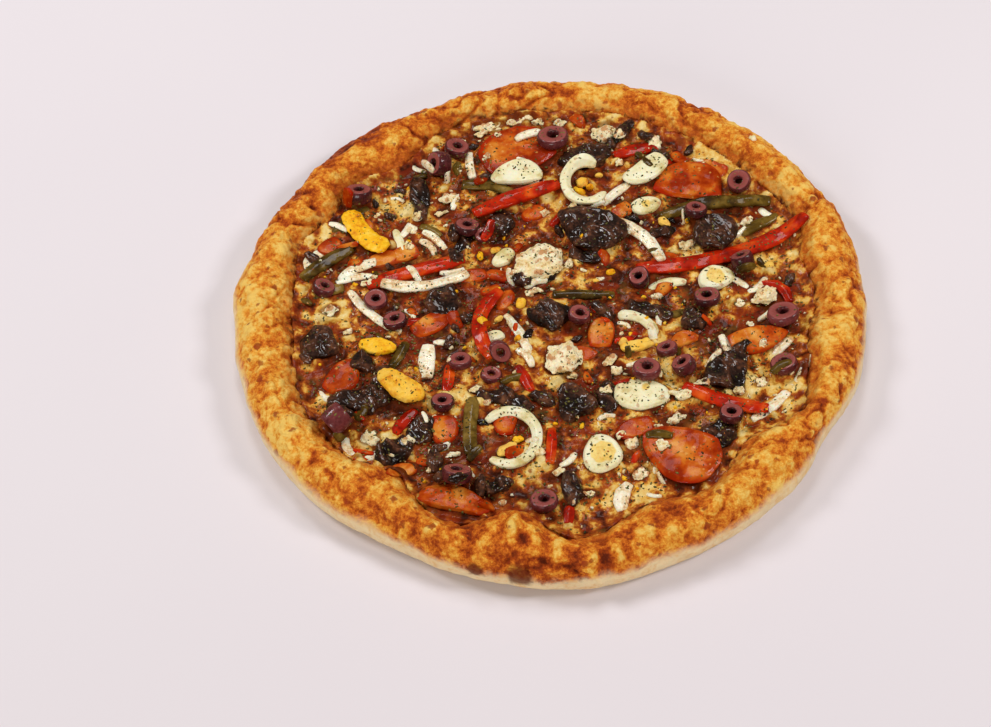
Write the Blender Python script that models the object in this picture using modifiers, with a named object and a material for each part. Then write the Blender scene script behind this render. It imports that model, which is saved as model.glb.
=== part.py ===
"""A large pan pizza: risen crust, cheese layer and its toppings.

Sizes here are in millimetres, and each finished mesh is scaled to metres. X runs to the right and Y away
from the camera of the photograph. The flat underside of the crust lies on Z = 0 about the origin.
"""

import math
import random

import bmesh
import bpy
import numpy as np
from mathutils import Matrix, Vector, geometry, noise
from mathutils.bvhtree import BVHTree

MM = 0.001
OBJECT_NAME = "pan_pizza"

OUTER_RADIUS = 175.0
INNER_RADIUS = 145.0
RIM_HEIGHT = 25.5
BASE_THICKNESS = 8.0
CHEESE_HEIGHT = 13.3
CHEESE_EDGE_RISE = 1.0
CHEESE_WAVE = 0.8
RIM_STEPS = 120
CHEESE_SPACING = 14.5
GAP = 0.3
SINK = 1.6

LOBE_SHORTEST = 7.5
LOBE_LONGEST = 13.5
VALLEY_DEPTH = 3.2
VALLEY_INSET = 1.6
CRUST_LUMP = 1.6
CRUST_LUMP_LENGTH = 11.0

# Share of the way from the rim's inner edge to its outer edge, and height as a share of the rim's height.
RIM_SECTION = (
    (0.00, 0.59),
    (0.09, 0.73),
    (0.24, 0.89),
    (0.42, 1.00),
    (0.60, 1.00),
    (0.77, 0.90),
    (0.91, 0.71),
    (0.985, 0.50),
    (1.00, 0.31),
    (0.975, 0.14),
    (0.90, 0.03),
    (0.80, 0.00),
)

# Bearing in degrees, how far the edge is pushed out, and half the width of the push in degrees.
OUTER_PUSHES = (
    (12, 2.6, 7),
    (88, -1.6, 22),
    (110, -4.6, 9),
    (142, -2.6, 7),
    (171, 4.0, 5),
    (238, -3.6, 11),
    (272, 2.6, 16),
    (324, -5, 7),
)
INNER_PUSHES = (
    (5, -4, 4),
    (16, 5, 9),
    (48, 0.5, 8),
    (94, -1, 15),
    (124, -11, 9),
    (147, -5, 6),
    (158, 2, 5),
    (169, -3, 6),
    (183, -5, 9),
    (205, 2, 8),
    (230, -9, 5),
    (245, 6, 6),
    (258, -8, 5),
    (272, 10, 6),
    (286, -3, 5),
    (298, 4, 6),
    (312, -6, 6),
    (325, 8, 7),
    (344, -3, 5),
)
HEIGHT_PUSHES = ((12, 1.2, 8), (90, -1.8, 35), (143, 1.2, 8), (225, 1.0, 9), (258, 1.6, 7), (300, 0.8, 12))

# Each row is a piece: x, y, length, width, turn in degrees, thickness, shape.
TOMATOES = (
    (-9, 115, 43, 36, 20, 3.6, "block"),
    (89, 79, 38, 29, -12, 3.8, "block"),
    (60, -111, 44, 34, -38, 4.2, "oval"),
    (-60, -125, 38, 17, -21, 4.0, "half"),
    (110, -40, 34, 18, 8, 3.6, "oval"),
)
MUSHROOMS = (
    (-66, 85, 34, 12, 92, 4.6, "cap"),
    (31, 104, 34, 17, 6, 4.6, "cap"),
    (29, 47, 42, 29, -44, 5.0, "cap"),
    (98, 36, 28, 23, 24, 4.8, "cap"),
    (-127, -17, 25, 21, 62, 4.6, "cap"),
    (-105, -57, 38, 16, 4, 4.6, "cap"),
    (0, -11, 26, 20, -8, 4.6, "cap"),
    (91, -61, 29, 25, 38, 4.6, "cap"),
    (8, -71, 24, 22, 84, 4.8, "cap"),
)
EGG_SLICES = (
    (-9, 94.5, 32, 18, 4, 4.0, "half"),
    (66, 90, 31, 19, 216, 4.0, "half"),
    (94, 5, 22, 17, 14, 4.2, "oval"),
    (43, -69, 32, 21, -10, 4.0, "oval"),
    (19, -105, 25, 22, 80, 4.4, "oval"),
)
YOLK_PIECES = ((-84, -52, 33, 17, -42, 6.0, "oval"),)

# Each row is a strip: x, y, length, width, turn in degrees, thickness, bow of the middle.
RED_STRIPS = (
    (-72, 30, 57, 8.5, 13.5, 3.2, 1.0),
    (-11, 76.5, 53, 9.0, 19, 3.2, 0.6),
    (101, 24.5, 100, 9.5, 12, 3.2, -7.5),
    (87, -78, 46, 8.0, -26, 3.2, -2.7),
    (-34, -13, 47, 8.0, -99.7, 3.0, -9.3),
)
GREEN_STRIPS = (
    (-122, 42, 34, 7.5, 35.5, 3.0, 1.0),
    (-25, 87, 34, 7.5, -26.6, 3.2, 4.9),
    (101, 57, 63, 8.0, 2.7, 3.2, 4.5),
    (-48, -79, 36, 7.0, -96.5, 3.0, -1.0),
)
ONION_STRIPS = ((-67, 21, 48, 6.5, 3.7, 2.6, -5.3), (52, 41, 49, 7.0, -47.5, 2.8, 8.1))
YOLK_STRIPS = ((-99, 62, 39, 15, -57, 5.0, -4.5),)

# Each row is an arc: x, y, outer length and width, first and last bearing in degrees, band width, thickness.
EGG_ARCS = (
    (30, 82, 32, 38, 55, 322, 6.8, 4.4),
    (-28.5, -89, 37, 41, -136, 138, 6.4, 4.4),
    (39, -33, 40, 42, 8, 96, 5.6, 4.2),
)

# Each row is a chunk of white cheese: x, y, length, width, turn in degrees, height.
CRUMBLES = ((-2, 27, 34, 29, 20, 8.0), (5, -41, 25, 23, 70, 7.6), (119, -11, 18, 14, 25, 6.5))

# Each row is a cut ring of olive: x, y, outer width, length of the cut, lean and its bearing in degrees.
OLIVES = (
    (-102, 88, 16.0, 7.5, 22, 250),
    (-43, 120, 15.0, 5.0, 14, 200),
    (-54, 105, 15.0, 9.0, 58, 20),
    (14, 119, 19.0, 5.5, 10, 280),
    (-95, 11, 13.5, 4.5, 14, 100),
    (-85, -5, 14.0, 4.5, 10, 300),
    (-41, 57, 15.0, 5.0, 20, 240),
    (117, 71, 14.0, 7.5, 28, 60),
    (89, 50, 13.0, 5.0, 18, 250),
    (87, -10, 15.0, 5.0, 12, 270),
    (126, -27, 18.0, 5.5, 16, 300),
    (16, -15, 12.5, 4.5, 10, 200),
    (48, -56, 15.5, 5.5, 12, 265),
    (68, -56, 13.0, 7.0, 30, 330),
    (121, -60, 15.0, 5.0, 14, 320),
    (88, -91, 13.0, 5.0, 12, 250),
    (-51, -37, 13.0, 4.5, 12, 260),
    (-118, -72, 15.0, 12.0, 72, 215),
    (-57, -113, 16.0, 6.5, 34, 250),
    (-14, -132, 15.0, 5.0, 12, 270),
)
OLIVE_HOLE_SHARE = 0.35
OLIVE_SIDES = 10
SMALL_OLIVE_SIDES = 8

# Pieces too small, or too many, for a node of their own are one with the cheese layer.
FUSED_SLABS = (
    (-115, -39, 27, 19, 60, 2.6, "oval"),
    (38, -90, 22, 13, 10, 2.4, "block"),
    (27, -25, 22, 15, 80, 2.6, "block"),
    (-62, -80, 20, 15, 80, 2.4, "block"),
    (-120, 55, 15, 12, 30, 2.4, "block"),
    (-90, 42, 18, 12, 12, 2.4, "block"),
    (-2, 66, 15, 11, 20, 2.4, "block"),
    (62, 64, 20, 14, 12, 3.0, "oval"),
    (-96, -20, 25, 13, -16, 4.2, "oval"),
    (45, -36, 22, 9, 4, 3.4, "oval"),
    (-22, 35, 18, 11, 40, 3.2, "oval"),
    (-32, -21, 15, 9, 10, 3.0, "half"),
    (-20, 61, 20, 13, 96, 3.4, "cap"),
    (-91, -92, 24, 18, 20, 4.0, "cap"),
    (82, -100, 24, 19, 40, 3.8, "cap"),
    (1, -123, 22, 12, 96, 3.8, "cap"),
    (-57, 7, 22, 21, 30, 3.8, "cap"),
    (-74, -79, 18, 14, 60, 3.6, "cap"),
    (79, -21, 19, 14, 75, 3.8, "cap"),
    (-104, -30, 18, 12, -50, 3.4, "cap"),
    (-27, -34, 13, 8, 10, 3.0, "oval"),
    (-38, -118, 20, 9, 4, 3.4, "cap"),
)
FUSED_STRIPS = (
    (-83, -72, 18, 6.5, 50, 2.4, 0.5),
    (-17, -51, 19, 5.5, -71, 2.4, 0.5),
    (-7, -96, 22, 5.0, -98, 2.4, 0.5),
    (62, 108, 26, 8.0, 8, 2.6, 1.5),
    (127, -6, 20, 5.5, -50, 2.4, 5.0),
    (124, 42, 25, 6.5, 26, 2.4, 0.5),
    (-84, -27, 18, 6.0, -120, 2.2, 0.5),
    (20, 3, 34, 6.0, -7, 2.2, 0.5),
    (46, 6, 12, 8.0, 30, 3.6, 0.0),
    (67, 5, 22, 7.0, 8, 3.0, 2.2),
    (-80, 53, 22, 6.0, -77, 2.6, 0.5),
    (-132, 46, 15, 9.0, 60, 2.0, 1.0),
    (-17, -22, 26, 5.5, -69, 2.2, 1.0),
    (-69, -33, 22, 9.0, 84, 2.2, 0.5),
    (-102, -99, 20, 5.5, 8, 2.2, 1.0),
    (93, -42, 15, 4.5, -78, 2.0, 0.5),
    (122, -46, 16, 5.0, 42, 2.0, 0.5),
    (110, -84, 26, 5.5, 36, 2.2, -1.5),
    (27, -133, 17, 7.0, 72, 2.6, 2.5),
    (45, 75, 24, 5.5, 38, 2.2, 1.0),
)
FUSED_LUMPS = (
    (74, 113, 19, 14, 80, 5.4),
    (118, 45, 13, 12, 0, 5.0),
    (82, 32, 16, 13, 20, 4.8),
    (-50, 84, 16, 13, 20, 5.4),
    (-121, 8, 15, 12, 10, 5.0),
    (-102, -80, 17, 14, 15, 5.0),
    (32, -51, 12, 11, 30, 4.6),
    (60, -86, 17, 10, 10, 4.6),
    (37, -119, 15, 11, 20, 4.6),
    (105, -13, 11, 10, 0, 4.4),
    (108, -68, 12, 11, 0, 4.2),
    (-73, 62, 11, 9, 40, 4.0),
    (46, 128, 24, 20, 30, 4.6),
    (-20, 137, 11, 9, 0, 4.2),
    (6, 146, 11, 8, 0, 4.2),
    (-71, -104, 9, 8, 0, 4.0),
    (35, -99, 13, 12, 0, 4.6),
    (50, -8, 14, 10, 0, 3.6),
    (-10, 8, 10, 9, 0, 4.0),
)
FUSED_OLIVES = (
    (-35, -47, 12.0, 4.5, 10, 200),
    (-62, -62, 13.0, 5.0, 14, 250),
    (61, -41, 12.0, 5.0, 20, 300),
    (-124, 23, 13.0, 5.5, 26, 200),
)

SLAB_SIDES = 12
SMALL_SLAB_SIDES = 8
STRIP_STATIONS = 8
SMALL_STRIP_STATIONS = 4
ARC_STATIONS = 11

CELL = 1.5
FIELD_REACH = 180.0
START_HEIGHT = 14.0
DROP_STEP = 0.2
STEEPEST = 0.32

COLOURS = {
    "crust": ((0.63, 0.29, 0.08), 0.7),
    "cheese": ((0.72, 0.55, 0.28), 0.45),
    "tomato": ((0.50, 0.07, 0.02), 0.35),
    "mushroom": ((0.035, 0.02, 0.015), 0.5),
    "egg_white": ((0.82, 0.78, 0.55), 0.4),
    "egg_yolk": ((0.90, 0.50, 0.05), 0.6),
    "red_pepper": ((0.55, 0.03, 0.005), 0.25),
    "green_pepper": ((0.10, 0.09, 0.02), 0.35),
    "onion": ((0.70, 0.55, 0.38), 0.35),
    "white_cheese": ((0.90, 0.80, 0.60), 0.6),
    "olive": ((0.15, 0.03, 0.035), 0.22),
}


def pushed(bearing, pushes):
    """The sum of smooth pushes at a bearing in degrees."""
    total = 0.0
    for centre, amount, width in pushes:
        away = (bearing - centre + 180) % 360 - 180
        total += amount * math.exp(-((away / width) ** 2))
    return total


def lobe_table():
    """Where the lobes of the rim begin and end, with how full each is."""
    draw = random.Random(11)
    lengths = []
    while sum(lengths) < 360 - LOBE_SHORTEST:
        lengths.append(draw.uniform(LOBE_SHORTEST, LOBE_LONGEST))
    scale = 360 / sum(lengths)
    edges = np.concatenate(([0.0], np.cumsum(lengths) * scale))
    fullness = [draw.uniform(0.35, 1.0) for _ in lengths]
    slants = [draw.uniform(-5.0, 5.0) for _ in lengths]
    return edges, fullness, slants


LOBE_EDGES, LOBE_FULLNESS, LOBE_SLANTS = lobe_table()


def valley(bearing, across):
    """0 on a lobe and up to 1 in the valley beside it."""
    spot = bearing % 360
    index = min(int(np.searchsorted(LOBE_EDGES, spot, side="right")) - 1, len(LOBE_FULLNESS) - 1)
    spot = (spot + LOBE_SLANTS[index] * (across - 0.5) * 0.6) % 360
    index = min(int(np.searchsorted(LOBE_EDGES, spot, side="right")) - 1, len(LOBE_FULLNESS) - 1)
    low, high = LOBE_EDGES[index], LOBE_EDGES[index + 1]
    along = (spot - low) / (high - low)
    return LOBE_FULLNESS[index] * (1 - math.sin(math.pi * along) ** 0.6)


def outer_radius(bearing):
    return OUTER_RADIUS + pushed(bearing, OUTER_PUSHES)


def inner_radius(bearing):
    return INNER_RADIUS + pushed(bearing, INNER_PUSHES)


def cheese_height(x, y):
    """The surface of the melted cheese: gentle waves, and a rise where it meets the rim."""
    bearing = math.degrees(math.atan2(y, x))
    share = math.hypot(x, y) / inner_radius(bearing)
    wave = noise.noise(Vector((x / 23, y / 23, 3.7))) * CHEESE_WAVE
    return CHEESE_HEIGHT + wave + CHEESE_EDGE_RISE * max(0.0, (share - 0.9) / 0.1)


def evaluated_mesh(obj):
    """The mesh that the object's modifiers give, with the object removed."""
    graph = bpy.context.evaluated_depsgraph_get()
    mesh = bpy.data.meshes.new_from_object(obj.evaluated_get(graph))
    bpy.data.objects.remove(obj)
    return mesh


def material(kind):
    name = "mat_" + kind
    found = bpy.data.materials.get(name)
    if found:
        return found
    colour, roughness = COLOURS[kind]
    made = bpy.data.materials.new(name)
    made.use_nodes = True
    shader = made.node_tree.nodes["Principled BSDF"]
    shader.inputs["Base Color"].default_value = (*colour, 1)
    shader.inputs["Roughness"].default_value = roughness
    shader.inputs["Metallic"].default_value = 0
    made.diffuse_color = (*colour, 1)
    return made


def add_node(name, mesh, kind):
    """Makes a mesh in millimetres one node of the object, in metres."""
    mesh.transform(Matrix.Scale(MM, 4))
    mesh.name = name
    mesh.materials.clear()
    mesh.materials.append(material(kind))
    obj = bpy.data.objects.new(name, mesh)
    bpy.data.collections[OBJECT_NAME].objects.link(obj)
    return obj


def mesh_of(name, vertices, faces):
    mesh = bpy.data.meshes.new(name)
    mesh.from_pydata(vertices, [], faces)
    mesh.validate()
    mesh.update()
    return mesh


def crust_mesh():
    """A profile turned about Z, its rings then moved out, in, up and down along the rim."""
    width = OUTER_RADIUS - INNER_RADIUS
    profile = [(0.0, BASE_THICKNESS), (INNER_RADIUS - 2.4, BASE_THICKNESS)]
    profile += [(INNER_RADIUS + share * width, high * RIM_HEIGHT) for share, high in RIM_SECTION]
    profile.append((0.0, 0.0))
    vertices = [(radius, 0.0, height) for radius, height in profile]
    edges = [(index, index + 1) for index in range(len(vertices) - 1)]
    line = bpy.data.meshes.new("rim profile")
    line.from_pydata(vertices, edges, [])
    turned = bpy.data.objects.new("rim profile", line)
    bpy.context.scene.collection.objects.link(turned)
    screw = turned.modifiers.new("turn", "SCREW")
    screw.steps = RIM_STEPS
    screw.render_steps = RIM_STEPS
    screw.use_merge_vertices = True
    screw.merge_threshold = 0.0001
    mesh = evaluated_mesh(turned)
    for vertex in mesh.vertices:
        radius = math.hypot(vertex.co.x, vertex.co.y)
        if radius < 1:
            continue
        bearing = math.degrees(math.atan2(vertex.co.y, vertex.co.x))
        inner = inner_radius(bearing)
        outer = outer_radius(bearing)
        height = vertex.co.z
        if radius <= INNER_RADIUS:
            new_radius = radius + inner - INNER_RADIUS
            if radius > INNER_RADIUS - 1:
                height = CHEESE_HEIGHT + CHEESE_EDGE_RISE + 0.9
        else:
            across = (radius - INNER_RADIUS) / width
            dip = valley(bearing, across)
            on_top = max(0.0, min(1.0, (height / RIM_HEIGHT - 0.45) / 0.45))
            above_foot = min(1.0, height / (RIM_HEIGHT * 0.3))
            low_wave = noise.noise(Vector((vertex.co.x / 60, vertex.co.y / 60, 8.1))) * 1.6
            low_wave += pushed(bearing, HEIGHT_PUSHES)
            new_radius = inner + across * (outer - inner) - VALLEY_INSET * dip * above_foot * across
            height = height + on_top * (low_wave - VALLEY_DEPTH * dip)
            spot = Vector((vertex.co.x, vertex.co.y, height)) / CRUST_LUMP_LENGTH
            height += on_top * CRUST_LUMP * noise.noise(spot)
            new_radius += above_foot * across * CRUST_LUMP * noise.noise(spot + Vector((9, 4, 2)))
        scale = new_radius / radius
        vertex.co = (vertex.co.x * scale, vertex.co.y * scale, height)
    return mesh


def cheese_mesh():
    """A lid of even triangles over a flat underside, inside the rim."""
    edge = []
    for step in range(RIM_STEPS):
        turn = 2 * math.pi * step / RIM_STEPS
        radius = inner_radius(math.degrees(turn)) - 0.9
        edge.append(Vector((radius * math.cos(turn), radius * math.sin(turn))))
    row_gap = CHEESE_SPACING * math.sqrt(3) / 2
    rows = int(INNER_RADIUS / row_gap) + 1
    points = list(edge)
    for row in range(-rows, rows + 1):
        for column in range(-rows, rows + 1):
            x = (column + (row % 2) / 2) * CHEESE_SPACING
            y = row * row_gap
            bearing = math.degrees(math.atan2(y, x))
            if math.hypot(x, y) < inner_radius(bearing) - CHEESE_SPACING * 0.55:
                points.append(Vector((x, y)))
    border = [(index, (index + 1) % RIM_STEPS) for index in range(RIM_STEPS)]
    flat, _, triangles, originals, _, _ = geometry.delaunay_2d_cdt(points, border, [], 1, 1e-4)
    vertices = [(spot.x, spot.y, cheese_height(spot.x, spot.y)) for spot in flat]
    index_of = {sources[0]: index for index, sources in enumerate(originals) if sources}
    faces = [tuple(face) for face in triangles]
    first_low = len(vertices)
    for step in range(RIM_STEPS):
        spot = edge[step] * (1 - 1.9 / edge[step].length)
        vertices.append((spot.x, spot.y, BASE_THICKNESS + GAP))
    for step in range(RIM_STEPS):
        after = (step + 1) % RIM_STEPS
        faces.append((index_of[after], index_of[step], first_low + step, first_low + after))
    faces.append(tuple(first_low + step for step in reversed(range(RIM_STEPS))))
    return mesh_of("cheese", vertices, faces)


def turned_flat(points, x, y, degrees):
    """Points about the origin, turned and set down at x, y."""
    cosine, sine = math.cos(math.radians(degrees)), math.sin(math.radians(degrees))
    return [(x + px * cosine - py * sine, y + px * sine + py * cosine) for px, py in points]


def outline(shape, length, width, sides, seed):
    """The outline of a slice, one point for each bearing, before it is turned."""
    draw = random.Random(seed)
    phase = draw.uniform(0, 6)
    points = []
    for step in range(sides):
        turn = 2 * math.pi * step / sides
        x, y = math.cos(turn), math.sin(turn)
        if shape == "block":
            power = (abs(x) ** 3.4 + abs(y) ** 3.4) ** (-1 / 3.4)
            x, y = x * power, y * power * (1 + 0.14 * x)
        elif shape == "half":
            y = max(y, -0.34) * 1.35 - 0.3
        elif shape == "cap":
            pinch = 0.34 * max(0.0, min(1.0, (-y - 0.1) / 0.5))
            x = x * (1 - pinch) + 0.08 * y
        wobble = 1 + 0.07 * math.sin(3 * turn + phase) + draw.uniform(-0.05, 0.05)
        points.append((x * length / 2 * wobble, y * width / 2 * wobble))
    return points


def slab_shape(row, sides, low, seed):
    """A slice: rounded edge, softly raised or wrinkled top."""
    x, y, length, width, turn, thickness, shape = row
    draw = random.Random(seed + 5)
    edge = outline(shape, length, width, sides, seed)
    wrinkle = 0.22 if shape == "cap" else 0.06
    rings = (
        (0.9, low, 0.0),
        (1.0, thickness * 0.5, 0.0),
        (0.88, thickness * 0.92, wrinkle),
        (0.45, thickness, wrinkle),
    )
    vertices = []
    for share, height, rough in rings:
        for px, py in turned_flat([(a * share, b * share) for a, b in edge], x, y, turn):
            vertices.append((px, py, height + rough * thickness * draw.uniform(-1, 1)))
    faces = [tuple(reversed(range(sides)))]
    for ring in range(len(rings) - 1):
        for step in range(sides):
            after = (step + 1) % sides
            start = ring * sides
            faces.append((start + step, start + after, start + sides + after, start + sides + step))
    centre_x, centre_y = np.mean([vertex[:2] for vertex in vertices[-sides:]], axis=0)
    vertices.append((centre_x, centre_y, thickness * (0.8 if shape == "cap" else 1.05)))
    top = len(vertices) - 1
    for step in range(sides):
        start = (len(rings) - 1) * sides
        faces.append((start + step, start + (step + 1) % sides, top))
    return vertices, faces


def swept_shape(path, half_width, low, thickness, seed):
    """A strip along a path of points, five-sided, thinner towards its ends."""
    draw = random.Random(seed + 9)
    count = len(path)
    vertices = []
    for index, (x, y) in enumerate(path):
        before = path[max(index - 1, 0)]
        after = path[min(index + 1, count - 1)]
        along = Vector((after[0] - before[0], after[1] - before[1])).normalized()
        end = min(index, count - 1 - index)
        share = 0.66 if end == 0 else 1.0
        half = half_width * share * (1 + draw.uniform(-0.07, 0.07))
        high = thickness * (0.8 if end == 0 else 1.0) * (1 + draw.uniform(-0.08, 0.08))
        section = ((0.8, low), (1.0, high * 0.55), (0.15, high), (-1.0, high * 0.7), (-0.8, low))
        for side, height in section:
            vertices.append((x - along.y * half * side, y + along.x * half * side, height))
    sides = 5
    faces = [tuple(reversed(range(sides)))]
    for index in range(count - 1):
        for side in range(sides):
            start = index * sides
            after = (side + 1) % sides
            faces.append((start + side, start + after, start + sides + after, start + sides + side))
    faces.append(tuple((count - 1) * sides + side for side in range(sides)))
    return vertices, faces


def strip_shape(row, stations, low, seed):
    x, y, length, width, turn, thickness, bow = row
    path = []
    for index in range(stations):
        along = 2 * index / (stations - 1) - 1
        path.append((along * length / 2, bow * (0.55 - along * along)))
    return swept_shape(turned_flat(path, x, y, turn), width / 2, low, thickness, seed)


def arc_shape(row, low, seed):
    x, y, length, width, first, last, band, thickness = row
    path = []
    for index in range(ARC_STATIONS):
        turn = math.radians(first + (last - first) * index / (ARC_STATIONS - 1))
        path.append((x + (length - band) / 2 * math.cos(turn), y + (width - band) / 2 * math.sin(turn)))
    return swept_shape(path, band / 2, low, thickness, seed)


def lump_shape(row, low, seed, detail):
    """An uneven crumble: a rounded lump with a flattened foot."""
    x, y, length, width, turn, height = row
    builder = bmesh.new()
    bmesh.ops.create_icosphere(builder, subdivisions=detail, radius=1.0)
    vertices = []
    shift = Vector((seed * 1.7, seed * 0.9, 0.5))
    for vertex in builder.verts:
        swell = 1 + 0.26 * noise.noise(vertex.co * 1.6 + shift)
        spot = (vertex.co.x * swell * length / 2, vertex.co.y * swell * width / 2)
        rise = max(vertex.co.z, -0.45) * swell
        vertices.append((*turned_flat([spot], x, y, turn)[0], low + (height - low) * (rise + 0.45) / 1.45))
    faces = [tuple(vertex.index for vertex in face.verts) for face in builder.faces]
    builder.free()
    return vertices, faces


def olive_shape(row, sides, low, seed):
    """A cut ring: barrel-shaped outside, straight hole, leaned over as it lies."""
    x, y, across, cut, lean, bearing = row
    draw = random.Random(seed + 3)
    outer = across / 2
    hole = outer * OLIVE_HOLE_SHARE
    end = outer * 0.93
    half = cut / 2
    rings = ((end, -half), (outer, 0.0), (end, half), (hole, half), (hole, -half))
    squash = draw.uniform(0.9, 1.0)
    axis = Vector((math.sin(math.radians(bearing)), -math.cos(math.radians(bearing)), 0))
    tilt = Matrix.Rotation(math.radians(lean), 3, axis)
    vertices = []
    for radius, height in rings:
        for step in range(sides):
            turn = 2 * math.pi * step / sides
            spot = tilt @ Vector((radius * math.cos(turn), radius * squash * math.sin(turn), height))
            vertices.append((x + spot.x, y + spot.y, spot.z))
    faces = []
    for ring in range(len(rings)):
        for step in range(sides):
            after = (step + 1) % sides
            start = ring * sides
            above = (ring + 1) % len(rings) * sides
            faces.append((start + step, start + after, above + after, above + step))
    lift = low - min(vertex[2] for vertex in vertices)
    return [(a, b, c + lift) for a, b, c in vertices], faces


class Ground:
    """The height of all that lies below, on a square grid."""

    def __init__(self):
        count = int(2 * FIELD_REACH / CELL) + 1
        self.top = np.zeros((count, count))
        self.solids = []

    def cells(self, low, high):
        first = max(0, int((low + FIELD_REACH) / CELL))
        last = min(len(self.top) - 1, int((high + FIELD_REACH) / CELL) + 1)
        return first, last

    def add(self, vertices, faces):
        tree = BVHTree.FromPolygons(vertices, faces, epsilon=0.0)
        spots = np.array(vertices)
        low, high = spots.min(axis=0), spots.max(axis=0)
        self.solids.append((tree, low, high))
        down = Vector((0, 0, -1))
        x_first, x_last = self.cells(low[0], high[0])
        y_first, y_last = self.cells(low[1], high[1])
        for i in range(x_first, x_last + 1):
            for j in range(y_first, y_last + 1):
                start = Vector((i * CELL - FIELD_REACH, j * CELL - FIELD_REACH, 90))
                found = tree.ray_cast(start, down)[0]
                if found is not None:
                    self.top[i, j] = max(self.top[i, j], found.z)

    def window(self, low, high, blur):
        """A smoothed copy of the heights round a piece, and where it starts."""
        x_first, x_last = self.cells(low[0] - 6, high[0] + 6)
        y_first, y_last = self.cells(low[1] - 6, high[1] + 6)
        heights = self.top[x_first : x_last + 1, y_first : y_last + 1].copy()
        for _ in range(blur):
            padded = np.pad(heights, 1, mode="edge")
            rows, columns = heights.shape
            heights = sum(padded[a : a + rows, b : b + columns] for a in range(3) for b in range(3)) / 9
        return heights, x_first * CELL - FIELD_REACH, y_first * CELL - FIELD_REACH

    def clashes(self, vertices, faces):
        spots = np.array(vertices)
        low, high = spots.min(axis=0), spots.max(axis=0)
        tree = BVHTree.FromPolygons(vertices, faces, epsilon=0.0)
        for other, other_low, other_high in self.solids:
            if (low > other_high).any() or (high < other_low).any():
                continue
            if tree.overlap(other):
                return True
        return False


def height_at(heights, x_start, y_start, x, y):
    """Heights read between the cells of the grid."""
    i = np.clip((x - x_start) / CELL, 0, heights.shape[0] - 1.001)
    j = np.clip((y - y_start) / CELL, 0, heights.shape[1] - 1.001)
    i_low, j_low = i.astype(int), j.astype(int)
    di, dj = i - i_low, j - j_low
    near = heights[i_low, j_low] * (1 - dj) + heights[i_low, j_low + 1] * dj
    far = heights[i_low + 1, j_low] * (1 - dj) + heights[i_low + 1, j_low + 1] * dj
    return near * (1 - di) + far * di


def draped(ground, vertices, blur, stiff):
    """Lays a flat-bottomed shape on the ground: a soft one bends, and a stiff one tilts."""
    spots = np.array(vertices, float)
    heights, x_start, y_start = ground.window(spots.min(axis=0), spots.max(axis=0), blur)
    below = height_at(heights, x_start, y_start, spots[:, 0], spots[:, 1])
    if stiff:
        offset = spots[:, :2] - spots[:, :2].mean(axis=0)
        terms = np.column_stack((offset, np.ones(len(spots))))
        slope_x, slope_y, level = np.linalg.lstsq(terms, below, rcond=None)[0]
        steepness = max(1.0, math.hypot(slope_x, slope_y) / STEEPEST)
        below = level + offset @ np.array((slope_x, slope_y)) / steepness
    spots[:, 2] += below
    return spots


def inflated(mesh, amount):
    """The vertices moved out by the gap that neighbours keep."""
    return [tuple(vertex.co + vertex.normal * amount) for vertex in mesh.vertices]


def settled(ground, vertices, faces):
    """Lowers a piece from above until it nearly touches what lies below."""
    mesh = mesh_of("piece", [tuple(vertex) for vertex in vertices], faces)
    fat = np.array(inflated(mesh, GAP))
    bpy.data.meshes.remove(mesh)
    drop = START_HEIGHT
    while drop > -START_HEIGHT / 2:
        lower = fat.copy()
        lower[:, 2] += drop - DROP_STEP
        if ground.clashes([tuple(spot) for spot in lower], faces):
            break
        drop -= DROP_STEP
    moved = np.array(vertices)
    moved[:, 2] += drop
    return [tuple(spot) for spot in moved]


def split_to_triangles(mesh):
    """Splits every face, so that what is tested is what is kept."""
    builder = bmesh.new()
    builder.from_mesh(mesh)
    bmesh.ops.triangulate(builder, faces=builder.faces)
    builder.to_mesh(mesh)
    builder.free()


def mesh_lists(mesh):
    split_to_triangles(mesh)
    vertices = [tuple(vertex.co) for vertex in mesh.vertices]
    faces = [tuple(polygon.vertices) for polygon in mesh.polygons]
    return vertices, faces


def fused_pieces():
    """The small toppings, each reaching a little into the cheese."""
    pieces = []
    for index, row in enumerate(FUSED_SLABS):
        pieces.append(slab_shape(row, SMALL_SLAB_SIDES, -SINK, 100 + index))
    for index, row in enumerate(FUSED_STRIPS):
        pieces.append(strip_shape(row, SMALL_STRIP_STATIONS, -SINK, 200 + index))
    for index, row in enumerate(FUSED_LUMPS):
        pieces.append(lump_shape(row, -SINK, 300 + index, 1))
    for index, row in enumerate(FUSED_OLIVES):
        pieces.append(olive_shape(row, SMALL_OLIVE_SIDES, -SINK, 350 + index))
    return pieces


def inside_rim(vertices):
    """True where every point of a piece keeps clear of the rim."""
    for x, y, _ in vertices:
        if math.hypot(x, y) > inner_radius(math.degrees(math.atan2(y, x))) - 1.8:
            return False
    return True


def kept_off_rim(vertices):
    """Moves a piece towards the middle until it is clear of the rim."""
    while not inside_rim(vertices):
        away = math.hypot(*np.mean(vertices, axis=0)[:2])
        step = np.mean(vertices, axis=0)[:2] / away
        vertices = [(x - step[0], y - step[1], z) for x, y, z in vertices]
    return vertices


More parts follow.
